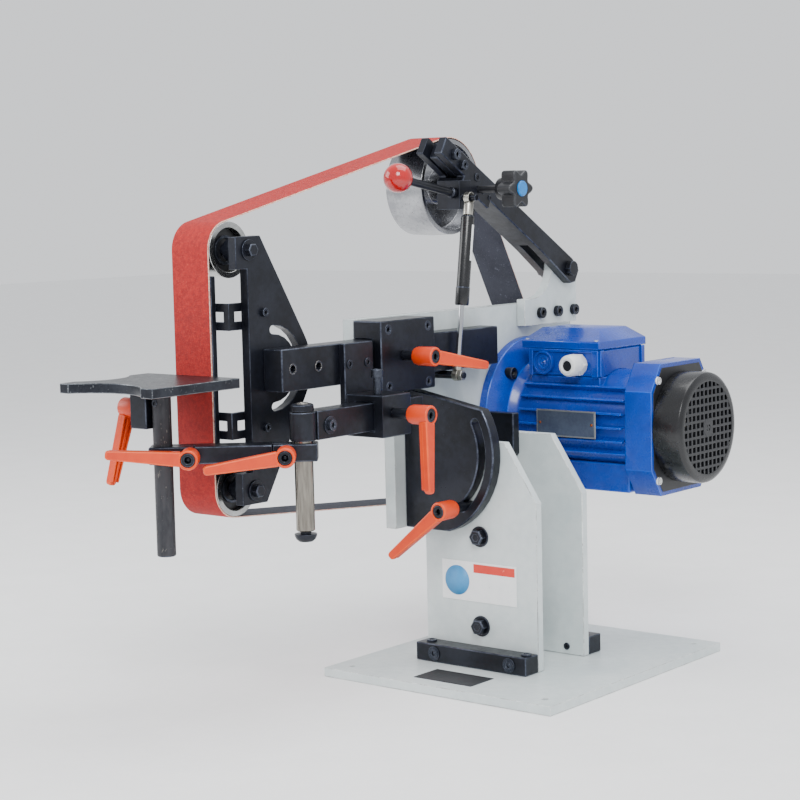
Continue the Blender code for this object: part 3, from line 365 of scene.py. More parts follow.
for node, height in (("lower_tie_bar", 0.052), ("upper_tie_bar", 0.151)):
    place = facing((-0.015, 0, height), FRONT)
    shapes = [ringed("washer", [(0.0112, 0.0630), (0.0115, 0.0622), (0.0115, 0.0613), (0.0050, 0.0613),
                                (0.0050, 0.0630)], place, *BLACKED, 0.0003, 96),
              ringed("head", [(0.0040, 0.0703), (0.0078, 0.0703), (0.0090, 0.0694), (0.0090, 0.0628),
                              (0.0040, 0.0628)], place, *BLACKED, 0.0005, 6),
              turned("crown", [(0.0044, 0.0700), (0.0044, 0.0690), (0, 0.0690)], place, *BLACKED, 0.0003, 48),
              ringed("bar", [(0.0090, 0.0507), (0.0090, -0.0267), (0.0030, -0.0267), (0.0030, 0.0507)], place,
                     *BLACKED, 0.0006, 72),
              turned("shank", [(0.0050, 0.0625), (0.0050, -0.0453), (0, -0.0453)], place, *BLACKED, 0.0004, 48),
              ringed("nut", [(0.0098, -0.0373), (0.0098, -0.0446), (0.0040, -0.0446), (0.0040, -0.0373)], place,
                     *BLACKED, 0.0006, 6)]
    fit(fused(node + "_set", *shapes), "base", [node])
socket_screw("rear_upright_screw", (0.0373, 0.0270, 0.0192), FRONT, 0.0040, 0.0012, "base")

STEEL = surface("oiled_steel", rgb(76, 80, 90), rgb(48, 52, 62), rgb(140, 144, 150), 0.30, 0.85, patch=80, grain=900,
                relief=0.06)

# Two screws go down through the front foot bar into the base plate and two go back into the upright.

for x in (-0.075, 0.0526):
    socket_screw(numbered("foot_screw_top", x), (x, -0.073, 0.0303), UP, 0.0058, 0.0022, "base", STEEL)
for x in (-0.063, 0.038):
    socket_screw(numbered("foot_screw_front", x), (x, -0.085, 0.0200), FRONT, 0.0062, 0.0016, "base",
                 STEEL, washer=0.0078)

# A printed plate on the base and a sticker on the upright carry the maker's words on the real machine. Both are
# plain here: a black plate with a satin rim, and a white card with a pale disc and a coral strip.

LABEL = surface("label_black", rgb(26, 27, 30), rgb(34, 35, 39), rgb(60, 62, 66), 0.5, grain=400, relief=0.03)
CARD = surface("label_white", rgb(238, 240, 240), rgb(228, 231, 232), rgb(205, 208, 210), 0.45, grain=400,
               relief=0.02)
SKY = surface("label_blue", rgb(70, 150, 206), rgb(58, 138, 196), rgb(110, 176, 218), 0.45, grain=400, relief=0.02)
CORAL = surface("label_coral", rgb(216, 56, 40), rgb(204, 46, 32), rgb(228, 100, 84), 0.45, grain=400, relief=0.02)
label = block("base_label", (-0.0405, -0.150, 0.0100), (0.0355, -0.109, 0.0106), LABEL, BLACK_WORN, 0.0002)
fit(label, "base")
card = block("upright_card", (-0.0672, -0.0618, 0.0782), (0.0333, -0.0612, 0.1222), CARD, CARD, 0.0002)
disc = turned("card_disc", [(0.0165, 0.0004), (0.0165, 0), (0, 0)], facing((-0.0465, -0.0617, 0.1002), FRONT), SKY,
              SKY, 0)
strip = block("card_strip", (-0.0240, -0.0621, 0.1105), (0.0310, -0.0617, 0.1200), CORAL, CORAL, 0.0001)
fit(fused("upright_card", card, disc, strip), "base")


# ------------------------------------------------------------------ head
# The main plate is the same enamel over 14 mm plate. The quadrant, the pivot ear and the block that the tool
# arm slides in are blacked, and screwed to it from behind.

dress("main_plate", *ENAMELLED, 0.0003, chamfer_of(0))
for node in ("tilt_quadrant", "rear_pivot_ear"):
    dress(node, *BLACKED, 0.0004, chamfer_of(1))
dress("arm_receiver", *BLACKED, 0.0003, chamfer_of(1))
for y in (-0.146, -0.078):
    for z in (0.3202, 0.3810):
        socket_screw(numbered("receiver_screw", -y, z), (-0.0718, y, z), RIGHT, 0.0056, 0.0046, "head", STEEL)

# The bracket that the tension arm swings on is grey too, held by three black socket screws, and the arm turns
# on one shouldered bolt.

dress("tension_bracket", *ENAMELLED, 0.0003, chamfer_of(0))
dress("tension_pivot_bolt", *BLACKED, 0.0006)
for y in (0.173, 0.208, 0.243):
    socket_screw(numbered("bracket_screw", y), (-0.0940, y, 0.3796), RIGHT, 0.0066, 0.0060, "head")


# ------------------------------------------------------------------ motor
# The motor is an iron casting in deep blue enamel: a flange, a tapered neck, a barrel with cooling fins on its
# front side, a pad below and a ledge on top for the terminal box.

BLUE = surface("blue_enamel", rgb(0, 60, 168), rgb(0, 48, 146), rgb(10, 88, 196), 0.28, grain=420, relief=0.09,
               share=0.72, coat=0.25, spread=0.12)
# The edge finish is a lighter, glossier copy of the blue: a painted highlight along every rounded edge, not wear.
BLUE_EDGE_HIGHLIGHT = surface("blue_enamel_painted_edge_highlight", rgb(10, 86, 200), rgb(0, 66, 176), rgb(80, 146, 226), 0.28, grain=700,
                    relief=0.08, share=0.64, coat=0.3)
PAINTED = (BLUE, BLUE_EDGE_HIGHLIGHT)
y, z = MOTOR_AXIS
barrel = [(0.0585, 0.0750), (0.0585, -0.0717), (0.0600, -0.0760), (0.0660, -0.0837), (0.0800, -0.0885),
          (0.0925, -0.0957),
          (0.0925, -0.1057), (0.0100, -0.1057), (0.0100, -0.0897), (0.0520, -0.0837), (0.0520, 0.0750)]
shapes = [ringed("motor_housing_new", barrel, along_x(0, y, z), *PAINTED, 0.0010, 160)]
for i in range(6):
    angle = math.radians(140 + 14 * i)
    place = Matrix.Translation((0, y, z)) @ Matrix.Rotation(angle - math.pi / 2, 4, "X")
    shapes.append(block(f"fin_{i}", (-0.0697, -0.0013, 0.052), (0.0710, 0.0013, 0.0664), *PAINTED, 0.0008, place))
shapes.append(block("ledge", (-0.065, 0.112, 0.300), (0.030, 0.203, 0.3117), *PAINTED, 0.0015))
shapes.append(block("pad", (-0.060, 0.112, 0.182), (0.068, 0.198, 0.215), *PAINTED, 0.0020))
fit(fused("motor_casing", *shapes), "head", ["motor_housing"])
COPPER = surface("copper_wire", rgb(170, 96, 52), rgb(140, 74, 40), rgb(200, 130, 80), 0.4, 0.9, patch=90)
CAST = surface("cast_aluminium", rgb(190, 190, 188), rgb(168, 168, 166), rgb(130, 130, 128), 0.42, 0.9, relief=0.12)
dress("motor_stator", COPPER, COPPER)
dress("motor_end_shield", CAST, CAST)
dress("motor_rotor", BRIGHT, BRIGHT)
socket_screw("flange_bolt", (-0.0957, 0.1004, 0.3132), RIGHT, 0.0072, 0.0150, "head", washer=0.0122)

# The rating plate is riveted across the fins. It is a blank strip of grey aluminium with a raised rim.

TAG = surface("rating_field", rgb(104, 114, 132), rgb(88, 98, 118), rgb(150, 156, 166), 0.36, 0.7, patch=50,
              grain=900, relief=0.05)
tag = Matrix.Translation((0, y, z)) @ Matrix.Rotation(math.pi / 2, 4, "X")
shapes = [block("tag", (-0.0418, -0.0155, 0.0662), (0.0388, 0.0155, 0.0671), CAST, BRIGHT, 0.0003, tag),
          block("tag_field", (-0.0400, -0.0138, 0.0670), (0.0370, 0.0138, 0.0674), TAG, CAST, 0.0001, tag)]
for x in (-0.0365, 0.0335):
    shapes.append(turned("rivet", [(0.0010, 0.0684), (0.0016, 0.0678), (0.0016, 0.0670), (0, 0.0670)],
                         tag @ Matrix.Translation((x, 0, 0)), COPPER, COPPER, 0, 24))
fit(fused("rating_plate", *shapes), "head")

# The end of the casting is an eight-sided shroud, with a recess round the fan's cowl and a white-headed screw in each
# of its front corners. A thin black sheet laid over the recess is painted shade: it stands for the shade that falls
# in it.

dress("fan_shroud", *PAINTED, 0.0006, chamfer_of(0))
DULL = surface("black_moulding", rgb(16, 17, 21), rgb(24, 25, 30), rgb(48, 50, 56), 0.42, grain=800, relief=0.08,
               share=0.66)
DULL_WORN = surface("black_moulding_edge", rgb(52, 54, 58), rgb(34, 35, 39), rgb(92, 95, 100), 0.36, grain=800,
                    relief=0.08)
MOULDED = (DULL, DULL_WORN)
GLOSS = surface("black_cowl", rgb(10, 11, 14), rgb(17, 18, 22), rgb(36, 38, 44), 0.26, grain=500, relief=0.05,
                coat=0.1)
WHITE = surface("white_moulding", rgb(232, 233, 232), rgb(214, 216, 216), rgb(180, 182, 182), 0.36, grain=500,
                relief=0.05)
for i, (dy, dz) in enumerate(((-0.050, 0.052), (-0.050, -0.060), (0.050, 0.052), (0.050, -0.060))):
    socket_screw(f"shroud_screw_{i}", (0.1095, y + dy, z + dz), RIGHT, 0.0044, 0.0030, "head", WHITE)
cowl_z = z - 0.0035
in_cowl = along_x(0, y, cowl_z)
cut_back = [(0.0590, 0.0415), (0.0405, 0.0695)]
cut_back += [(-u, v) for u, v in reversed(cut_back)]
cut_back += [(-u, -v) for u, v in cut_back]
# The recess sheet is painted shade: black moulding laid where the recess is only shaded.
recess = plate("recess", cut_back, Matrix.Translation((0.1093, y, z - 0.004)) @ Matrix(((0, 0, 1), (1, 0, 0),
                                                                                        (0, 1, 0))).to_4x4(),
               0.0008, *MOULDED, 0.0002)
fit(recess, "head")

# The cowl is a glossy moulding over the fan, domed at its rim, and its end is a grille of square holes.

BAR = 0.0015  # half the width of a grille bar
cowl = [(0.0520, 0.1452), (0.0566, 0.1455), (0.0597, 0.1445), (0.0618, 0.1424), (0.0625, 0.1396), (0.0625, 0.1104),
        (0.0600, 0.1104), (0.0600, 0.1386), (0.0560, 0.1420), (0.0520, 0.1424)]
shapes = [ringed("cowl", cowl, in_cowl, GLOSS, GLOSS, 0.0004, 128)]
for i in range(11):
    offset = -0.0440 + 0.0088 * i
    reach = math.sqrt(0.0530 ** 2 - offset ** 2)
    shapes.append(block(f"bar_{i}", (0.1426, y + offset - BAR, cowl_z - reach),
                        (0.1450, y + offset + BAR, cowl_z + reach),
                        *MOULDED, 0.0004))
    shapes.append(block(f"rung_{i}", (0.1427, y - reach, cowl_z + offset - BAR),
                        (0.1449, y + reach, cowl_z + offset + BAR),
                        *MOULDED, 0.0004))
shapes.append(ringed("boss", [(0.0100, 0.1453), (0.0100, 0.1426), (0.0040, 0.1426), (0.0040, 0.1453)], in_cowl,
                     *MOULDED, 0.0004, 64))
fit(fused("fan_cowl", *shapes), "head", ["fan_guard"])
dress("cooling_fan", *MOULDED, 0.0003)

# The terminal box saddles the barrel. Its lid rises in four slopes to a flat top and is held by bright screws.
# A hexagonal white gland takes the supply cord, which isn't fitted, so a black disc set inside its dome is painted
# shade for the empty bore; a ribbed plug closes the other entry.

dress("terminal_box", *PAINTED, 0.0006, block_chamfer)
dress("terminal_box_lid", *PAINTED, 0.0008)
ribs = [((-0.0650, 0.1075, 0.3120), (-0.0595, 0.1110, 0.3425)), ((0.0215, 0.1075, 0.3120), (0.0300, 0.1110, 0.3425)),
        ((-0.0650, 0.1078, 0.3395), (0.0300, 0.1110, 0.3428)), ((0.0285, 0.1110, 0.3120), (0.0322, 0.1180, 0.3425)),
        ((0.0285, 0.1980, 0.3120), (0.0322, 0.2050, 0.3425))]
shapes = [block(f"rib_{i}", low, high, *PAINTED, 0.0010) for i, (low, high) in enumerate(ribs)]
fit(fused("terminal_box_ribs", *shapes), "head")
for x in (-0.0685, 0.0262):
    for sy in (0.1125, 0.2025):
        socket_screw(numbered("lid_screw", x, sy), (x, sy, 0.3525), UP, 0.0030, 0.0016,
                     "head", WHITE)
entry = facing((0.003, 0.1097, 0.326), FRONT)
shapes = [ringed("hexagon", [(0.0138, 0.0090), (0.0138, 0.0020), (0.0050, 0.0020), (0.0050, 0.0090)], entry, WHITE,
                 WHITE, 0.0006, 6),
          ringed("dome", [(0.0075, 0.0260), (0.0105, 0.0250), (0.0122, 0.0215), (0.0126, 0.0090), (0.0060, 0.0090),
                          (0.0060, 0.0250)],
                 entry, WHITE, WHITE, 0.0006, 64),
          # This seal is painted shade: a black disc inside the dome that stands for the dark, empty bore.
          turned("seal", [(0.0076, 0.0235), (0.0076, 0.0100), (0, 0.0100)], entry, DULL, DULL, 0.0002, 48),
          ringed("collar", [(0.0118, 0.0022), (0.0118, 0), (0.0060, 0), (0.0060, 0.0022)], entry, WHITE, WHITE,
                 0.0003, 64)]
fit(fused("gland", *shapes), "head", ["cable_gland"])
plug = [(0.0020, 0.0046), (0.0036, 0.0030), (0.0052, 0.0030), (0.0058, 0.0042), (0.0076, 0.0042), (0.0082, 0.0026),
        (0.0108, 0.0026),
        (0.0114, 0.0050), (0.0132, 0.0050), (0.0138, 0.0036), (0.0138, 0), (0.0010, 0), (0.0010, 0.0040)]
fit(ringed("plug", plug, facing((-0.044, 0.1097, 0.3268), FRONT), *PAINTED, 0.0002, 72), "head",
    ["blanking_plug"])


# ------------------------------------------------------------------ wheels
# The four wheels are turned from aluminium bar. The cutting tool leaves fine rings on every face, the rims are
# polished by the belt, and each small wheel turns on a shielded bearing.

def turned_metal(name, colour, second, centre, pitch):
    """Bright metal with the lathe's rings round an axis along X."""
    made = surface(name, colour, second, rgb(150, 150, 148), 0.26, 1.0, patch=40, grain=800, relief=0.04, share=0.80,
                   spread=0.08)
    tree = made.node_tree
    spot = Value(tree.nodes.new("ShaderNodeTexCoord").outputs["Object"])
    offset = spot.node("ShaderNodeVectorMath", {"operation": "SUBTRACT"}, {0: spot, 1: (0, *centre)})
    radius = offset.stretched(0, 1, 1).node("ShaderNodeVectorMath", {"operation": "LENGTH"},
                                            {0: offset.stretched(0, 1, 1)}, 1)
    rings = (radius * (6.2832 / pitch)).math("SINE", 0) * 0.5 + 0.5
    height = rings + spot.noise(300, 2) * 0.2
    bump = height.node("ShaderNodeBump", {}, {"Strength": 0.05, "Distance": 0.0002, "Height": height})
    tree.links.new(bump.out, tree.nodes["Principled BSDF"].inputs["Normal"])
    return made


wheels = (("drive_wheel", "rotor", MOTOR_AXIS, DRIVE_RADIUS, 0.008, 0.007),
          ("tracking_wheel", "track_wheel", TRACK_AXIS, TRACK_RADIUS, 0.006, 0.007))
for node, body, (wy, wz), radius, rim, web in wheels:
    low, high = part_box(node)
    metal = turned_metal(node + "_metal", rgb(166, 167, 170), rgb(140, 141, 145), (wy, wz), 0.0011)
    hub = 0.024 if radius > 0.09 else 0.018
    bore = 0.0098 if radius > 0.09 else 0.0063
    centre_x = (low.x + high.x) / 2
    profile = [(radius - 0.0008, HALF_RIM), (radius, 0), (radius - 0.0008, -HALF_RIM), (radius - rim, -HALF_RIM),
               (radius - rim - 0.002, -web),
               (hub + 0.001, -web), (hub, -HALF_RIM + 0.005), (bore, -HALF_RIM + 0.005), (bore, HALF_RIM - 0.002),
               (hub, HALF_RIM - 0.002),
               (hub + 0.001, web), (radius - rim - 0.002, web), (radius - rim, HALF_RIM)]
    place = along_x(centre_x, wy, wz)
    fit(ringed(node + "_turned", profile, place, metal, metal, 0.0008, 160), body, [node])
for node, body, (wy, wz) in (("top_platen_wheel", "top_wheel", TOP_AXIS),
                             ("bottom_platen_wheel", "bottom_wheel", LOW_AXIS)):
    metal = turned_metal(node + "_metal", rgb(186, 187, 186), rgb(160, 161, 160), (wy, wz), 0.0009)
    place = along_x(BELT_MIDDLE, wy, wz)
    rim = [(PLATEN_RADIUS, HALF_RIM), (PLATEN_RADIUS, -HALF_RIM), (0.0225, -HALF_RIM), (0.0215, -0.016),
           (0.0063, -0.016), (0.0063, 0.016),
           (0.0215, 0.016), (0.0225, HALF_RIM)]
    shapes = [ringed("rim", rim, place, metal, metal, 0.0007, 128)]
    for side in (1, -1):
        seal = [(0.0217, 0.0190), (0.0217, 0.0160), (0.0064, 0.0160), (0.0064, 0.0190)]
        race = [(0.0150, 0.0212), (0.0150, 0.0180), (0.0120, 0.0180), (0.0120, 0.0212)]
        for name, ring, finish in (("seal", seal, DULL), ("race", race, STEEL)):
            drawn = [(r, h * side) for r, h in ring]
            shapes.append(ringed(name, drawn, place, finish, finish, 0.0003, 96))
    fit(fused(node + "_turned", *shapes), body, [node])


# ------------------------------------------------------------------ belt
# The belt is grit bonded to cloth. Its outside is coarse red-orange grain, its back is a dark woven cloth, and its
# cut edges are pale with frayed threads. It is laid in lengths: the lengths round the drive wheel, the tracking wheel
# and the platen hang on those bodies, and the straight runs between them hang on none.

GRIT = bpy.data.materials.new("grit")
GRIT.use_nodes = True
grit_shader = GRIT.node_tree.nodes["Principled BSDF"]
spot = Value(GRIT.node_tree.nodes.new("ShaderNodeTexCoord").outputs["Object"])
grains = spot.noise(1500, 3)
clumps = spot.noise(260, 4)
rub = spot.noise(26, 4)
red = clumps.step(0.35, 0.65).between(rgb(150, 8, 8), rgb(172, 22, 16))
red = grains.step(0.60, 0.70).between(red, rgb(214, 84, 66))
red = (1 - grains).step(0.62, 0.72).between(red, rgb(80, 2, 6))
red = (rub.step(0.55, 0.75) * 0.5).between(red, rgb(136, 24, 22))
GRIT.node_tree.links.new(red.out, grit_shader.inputs["Base Color"])
GRIT.node_tree.links.new((grains * 0.3 + 0.62).out, grit_shader.inputs["Roughness"])
lift = grains.node("ShaderNodeBump", {}, {"Strength": 0.5, "Distance": 0.0008, "Height": grains + clumps * 0.5})
GRIT.node_tree.links.new(lift.out, grit_shader.inputs["Normal"])
CLOTH = surface("belt_cloth", rgb(56, 58, 70), rgb(42, 44, 56), rgb(92, 95, 108), 0.85, patch=30, grain=1100,
                relief=0.35, share=0.58)
FRAY = surface("belt_fray", rgb(214, 172, 150), rgb(186, 104, 90), rgb(238, 222, 205), 0.9, patch=160, grain=1300,
               relief=0.5, share=0.5)

belt_gap, belt_thick, belt_low, belt_high = 0.0003, 0.0012, -0.1838, -0.1330
loop = [(MOTOR_AXIS, DRIVE_RADIUS), (TRACK_AXIS, TRACK_RADIUS), (TOP_AXIS, PLATEN_RADIUS), (LOW_AXIS, PLATEN_RADIUS)]


def leaves_at(first, second):
    """The angle on both wheels at which the straight run between them touches."""
    (a, r), (b, s) = first, second
    run = Vector(b) - Vector(a)
    return math.degrees(math.atan2(run.y, run.x) - math.pi / 2 + math.asin((r - s) / run.length))


def belt_length(name, stations):
    """A length of belt through stations of y, z and the outward way there."""
    work = bmesh.new()
    rows = []
    for (py, pz), (ny, nz) in stations:
        ring = []
        for x, out in ((belt_low, belt_thick), (belt_high - 0.0006, belt_thick), (belt_high, belt_thick * 0.6),
                       (belt_high, 0), (belt_low, 0)):
            ring.append(work.verts.new((x, py + ny * (belt_gap + out), pz + nz * (belt_gap + out))))
        rows.append(ring)
    for near, far in zip(rows, rows[1:]):
        for i, finish in zip(range(5), (0, 2, 2, 1, 2)):
            face = work.faces.new((near[i], near[(i + 1) % 5], far[(i + 1) % 5], far[i]))
            face.material_index = finish
    for end in (rows[0], rows[-1]):
        work.faces.new(end)
    made = solid(name, work, GRIT, CLOTH, 0)
    made.data.materials.append(FRAY)
    made.data.set_sharp_from_angle(angle=math.radians(35))
    return made


def wrap(i, steps):
    """Stations round one wheel, from where the belt meets it to where it leaves."""
    (cy, cz), radius = loop[i]
    start, end = leaves_at(loop[i - 1], loop[i]), leaves_at(loop[i], loop[(i + 1) % 4])
    while end < start:
        end += 360
    turns = [math.radians(start + (end - start) * k / steps) for k in range(steps + 1)]
    return [((cy + radius * math.cos(t), cz + radius * math.sin(t)), (math.cos(t), math.sin(t))) for t in turns]


def straight(first, last, steps):
    """Stations on the straight run between two others, both ends included."""
    (a, way), (b, _) = first, last
    return [((a[0] + (b[0] - a[0]) * k / steps, a[1] + (b[1] - a[1]) * k / steps), way) for k in range(steps + 1)]


def at(station):
    """The middle of the belt there."""
    return (BELT_MIDDLE, *station[0])


drive_wrap, track_wrap, top_wrap, low_wrap = wrap(0, 60), wrap(1, 48), wrap(2, 32), wrap(3, 32)
back = straight(drive_wrap[-1], track_wrap[0], 24)
top = straight(track_wrap[-1], top_wrap[0], 60)
front = straight(top_wrap[-1], low_wrap[0], 24)
under = straight(low_wrap[-1], drive_wrap[0], 60)
fit(belt_length("belt_drive_wrap", drive_wrap), "head", ["abrasive_belt"])
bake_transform(belt_length("belt_back", back))
fit(belt_length("belt_track_wrap", track_wrap), "tension")
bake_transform(belt_length("belt_top_rear", top[:25]))
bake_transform(belt_length("belt_top_middle", top[24:43]))
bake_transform(belt_length("belt_top_front", top[42:]))
fit(belt_length("belt_face", top_wrap + front[1:-1] + low_wrap), "platen_frame")
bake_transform(belt_length("belt_under_front", under[:19]))
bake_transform(belt_length("belt_under_rear", under[18:]))


# ------------------------------------------------------------------ tension arm
# The arm is a milled bar, forked at its top for the tracking carrier. A black rod with a glossy red ball is
# screwed into its block, and a star knob with a pale cap tilts the carrier.

dress("tension_arm", *BLACKED, 0.0003, chamfer_of(0))
for name, along, off, radius in (("fork_screw_top", 0.262, 0.001, 0.0062), ("fork_screw_low", 0.244, -0.002, 0.0056),
                                 ("arm_screw", 0.214, 0, 0.0048),
                                 ("arm_screw_low", 0.196, -0.008, 0.0030), ("arm_screw_far", 0.182, -0.008, 0.0030)):
    c, s = math.cos(math.radians(31)), math.sin(math.radians(31))
    there = (-0.0820, 0.2196 - along * c + off * s, 0.4306 + along * s + off * c)
    socket_screw(name, there, RIGHT, radius, 0.0045 if radius > 0.005 else 0.0010, "tension",
                 STEEL if radius > 0.005 else None)
dress("tracking_carrier", *BLACKED, 0.0003, chamfer_of(0))
RED = surface("red_ball", rgb(186, 0, 6), rgb(166, 0, 4), rgb(214, 40, 44), 0.16, grain=300, relief=0.012,
              share=0.80, coat=0.5)
start, ball = Vector((-0.089, 0.0007, 0.5235)), Vector((-0.090, -0.096, 0.541))
reach = (ball - start).length
stick = turned("stick", [(0.0045, reach - 0.010), (0.0045, 0.006), (0.0060, 0.005), (0.0060, 0), (0, 0)],
               facing(start, ball - start), *BLACKED, 0.0004, 64)
BALL_RADIUS = 0.0160
sphere = [(BALL_RADIUS * math.sin(math.radians(a)),
           reach + BALL_RADIUS * math.cos(math.radians(a))) for a in range(2, 162, 4)]
knob_ball = turned("ball", [*sphere, (0.0055, reach - 0.0150), (0.0055, reach - 0.0165), (0, reach - 0.0165)],
                   facing(start, ball - start), RED, RED, 0, 96)
fit(fused("tension_lever", stick, knob_ball), "tension", ["tension_handle"])

lobes = []
for i in range(144):
    angle = 2 * math.pi * i / 144
    radius = 0.0192 + 0.0036 * math.cos(6 * angle)
    lobes.append((radius * math.cos(angle), radius * math.sin(angle)))
CAP = surface("cap_blue", rgb(20, 124, 196), rgb(12, 106, 180), rgb(80, 160, 214), 0.35, grain=400, relief=0.04)
knob_place = facing((-0.082, 0.0396, 0.5270), RIGHT)
shapes = [plate("star", lobes, knob_place @ Matrix.Translation((0, 0, 0.0400)), 0.0190, *MOULDED, 0.0022),
          turned("neck", [(0.0150, 0.0410), (0.0140, 0.0370), (0.0120, 0.0300), (0.0040, 0.0300), (0.0040, -0.009),
                          (0, -0.009)],
                 knob_place, *MOULDED, 0.0006, 72),
          turned("cap", [(0, 0.0615), (0.0072, 0.0614), (0.0086, 0.0604), (0.0088, 0.0585), (0, 0.0585)], knob_place,
                 CAP, CAP, 0.0003, 72)]
fit(fused("star_knob", *shapes), "track_knob", ["tracking_knob"])

# The gas spring has a bright rod below and a black tube above, with a pale band, and a zinc-plated eye at each
# end. Its foot is bolted to the main plate.

CHROME = surface("spring_chrome", rgb(188, 190, 194), rgb(176, 178, 182), rgb(150, 152, 156), 0.16, 1.0, patch=20,
                 grain=300, relief=0.01, share=0.85, spread=0.05)
ZINC = surface("zinc_plate", rgb(196, 194, 184), rgb(168, 166, 158), rgb(120, 118, 110), 0.32, 1.0, patch=60,
               grain=700, relief=0.06)
foot, head_eye = Vector((-0.0725, -0.0209, 0.3220)), Vector((-0.0725, 0.0078, 0.5180))
spring = facing(foot, head_eye - foot)
long = (head_eye - foot).length
eye = [(0.0065, 0.0035), (0.0065, -0.0035), (0.0042, -0.0035), (0.0042, 0.0035)]
shapes = [turned("piston", [(0.0030, 0.126), (0.0030, 0.022), (0, 0.022)], spring, CHROME, CHROME, 0.0002, 48),
          turned("shank", [(0.0046, 0.0225), (0.0055, 0.0200), (0.0055, 0.0055), (0, 0.0055)], spring, ZINC, ZINC,
                 0.0004, 48),
          ringed("eye", eye, facing(foot, RIGHT), ZINC, ZINC, 0.0005, 64)]
fit(fused("spring_rod", *shapes), "gas_rod", ["gas_spring_rod"])
tube = [(0.0045, long - 0.019), (0.0068, long - 0.0205), (0.0075, long - 0.023), (0.0075, 0.0980), (0.0079, 0.0975),
        (0.0079, 0.0795), (0.0072, 0.0780), (0.0033, 0.0780),
        (0.0033, long - 0.024)]
shapes = [ringed("tube", tube, spring, GLOSS, BLACK_WORN, 0.0004, 72),
          ringed("top_shank", [(0.0048, long - 0.0055), (0.0055, long - 0.0075), (0.0055, long - 0.0190),
                               (0.0040, long - 0.0190)],
                 spring, ZINC, ZINC, 0.0004, 48),
          ringed("top_eye", [(0.0065, 0.0035), (0.0065, -0.0035), (0.0050, -0.0035), (0.0050, 0.0035)],
                 facing(head_eye, RIGHT), ZINC, ZINC, 0.0003, 64)]
band = bmesh.new()
rows = []
for height in (0.128, long - 0.030):
    turns = [math.radians(172 + 12 * i) for i in range(8)]
    rows.append([band.verts.new((0.00765 * math.cos(t), 0.00765 * math.sin(t), height)) for t in turns])
for i in range(7):
    band.faces.new((rows[0][i], rows[0][i + 1], rows[1][i + 1], rows[1][i]))
shapes.append(solid("band", band, CARD, CARD, 0, spring))
fit(fused("spring_tube", *shapes), "gas_cylinder", ["gas_spring_cylinder"])
dress("gas_spring_foot_stud", *BLACKED, 0.0003)
nut = ringed("foot_nut", [(0.0062, 0.0050), (0.0062, 0), (0.0030, 0), (0.0030, 0.0050)],
             facing((-0.0686, -0.0209, 0.3220), RIGHT), ZINC, ZINC, 0.0005, 6)
fit(nut, "head")


# ------------------------------------------------------------------ tool arm and platen
# The tool arm is bar stock with two tapped holes. The side plate bolted to it carries a wheel at each end and
# the platen, a flat hardened bar that backs the belt, on two slotted angles.

for node in ("tool_arm", "rest_bracket"):
    dress(node, *BLACKED, 0.0003, block_chamfer)
dress("rest_receiver", *BLACKED, 0.0003, chamfer_of(1))
dress("platen_side_plate", *BLACKED, 0.0003, chamfer_of(0))
dress("platen", *BLACKED, 0.0004, block_chamfer)
for node in ("upper_platen_bracket", "lower_platen_bracket"):
    dress(node, *BLACKED, 0.0008)
for node, (wy, wz) in (("top_wheel_bolt", TOP_AXIS), ("bottom_wheel_bolt", LOW_AXIS)):
    shapes = [turned("hex_head", [(0, 0.0182), (0.0060, 0.0182), (0.0070, 0.0174), (0.0070, 0.0118), (0, 0.0118)],
                     facing((-0.1162, wy, wz), RIGHT), *BLACKED, 0.0004, 6),
              ringed("washer", [(0.0105, 0.0120), (0.0105, 0.0105), (0.0040, 0.0105), (0.0040, 0.0120)],
                     facing((-0.1162, wy, wz), RIGHT), *BLACKED, 0.0003, 64),
              turned("axle", [(0.0040, 0.0115), (0.0040, -0.0003), (0.0115, -0.0003), (0.0115, -0.0155),
                              (0.0060, -0.0155),
                              (0.0060, -0.0618), (0, -0.0618)],
                     facing((-0.1162, wy, wz), RIGHT), *BLACKED, 0.0004, 64)]
    fit(fused(node + "_set", *shapes), "platen_frame", [node])
for name, sy, sz in (("side_screw_upper", -0.298, 0.408), ("side_screw_lower", -0.299, 0.291)):
    socket_screw(name, (-0.1060, sy, sz), RIGHT, 0.0045, 0.0040, "platen_frame")
for name, sy in (("bracket_screw_front", -0.206), ("bracket_screw_rear", -0.177)):
    socket_screw(name, (-0.0718, sy, 0.349), RIGHT, 0.0046, 0.0012, "tool")
stop = turned("rest_stop_shank", [(0.0042, 0.0190), (0.0042, 0)], facing((-0.037, -0.2035, 0.3187), UP), STEEL,
              STEEL, 0.0003, 48)
fit(stop, "tool")
socket_screw("rest_stop_head", (-0.037, -0.2035, 0.3365), UP, 0.0064, 0.0085, "tool", STEEL)
for name, sy in (("pivot_rim", -0.2846), ("clamp_rim", -0.2451)):
    rim = ringed(name, [(0.0056, 0.0006), (0.0056, 0), (0.0040, 0), (0.0040, 0.0006)],
                 facing((-0.0803, sy, 0.350), RIGHT), BLACK_WORN, BRIGHT, 0.0002, 48)
    fit(rim, "tool")


# ------------------------------------------------------------------ work rest
# A square arm slides in its block and holds a bright ground post. A split link swings on that post and clamps a
# second post, and the table tilts on a knuckle at its head.

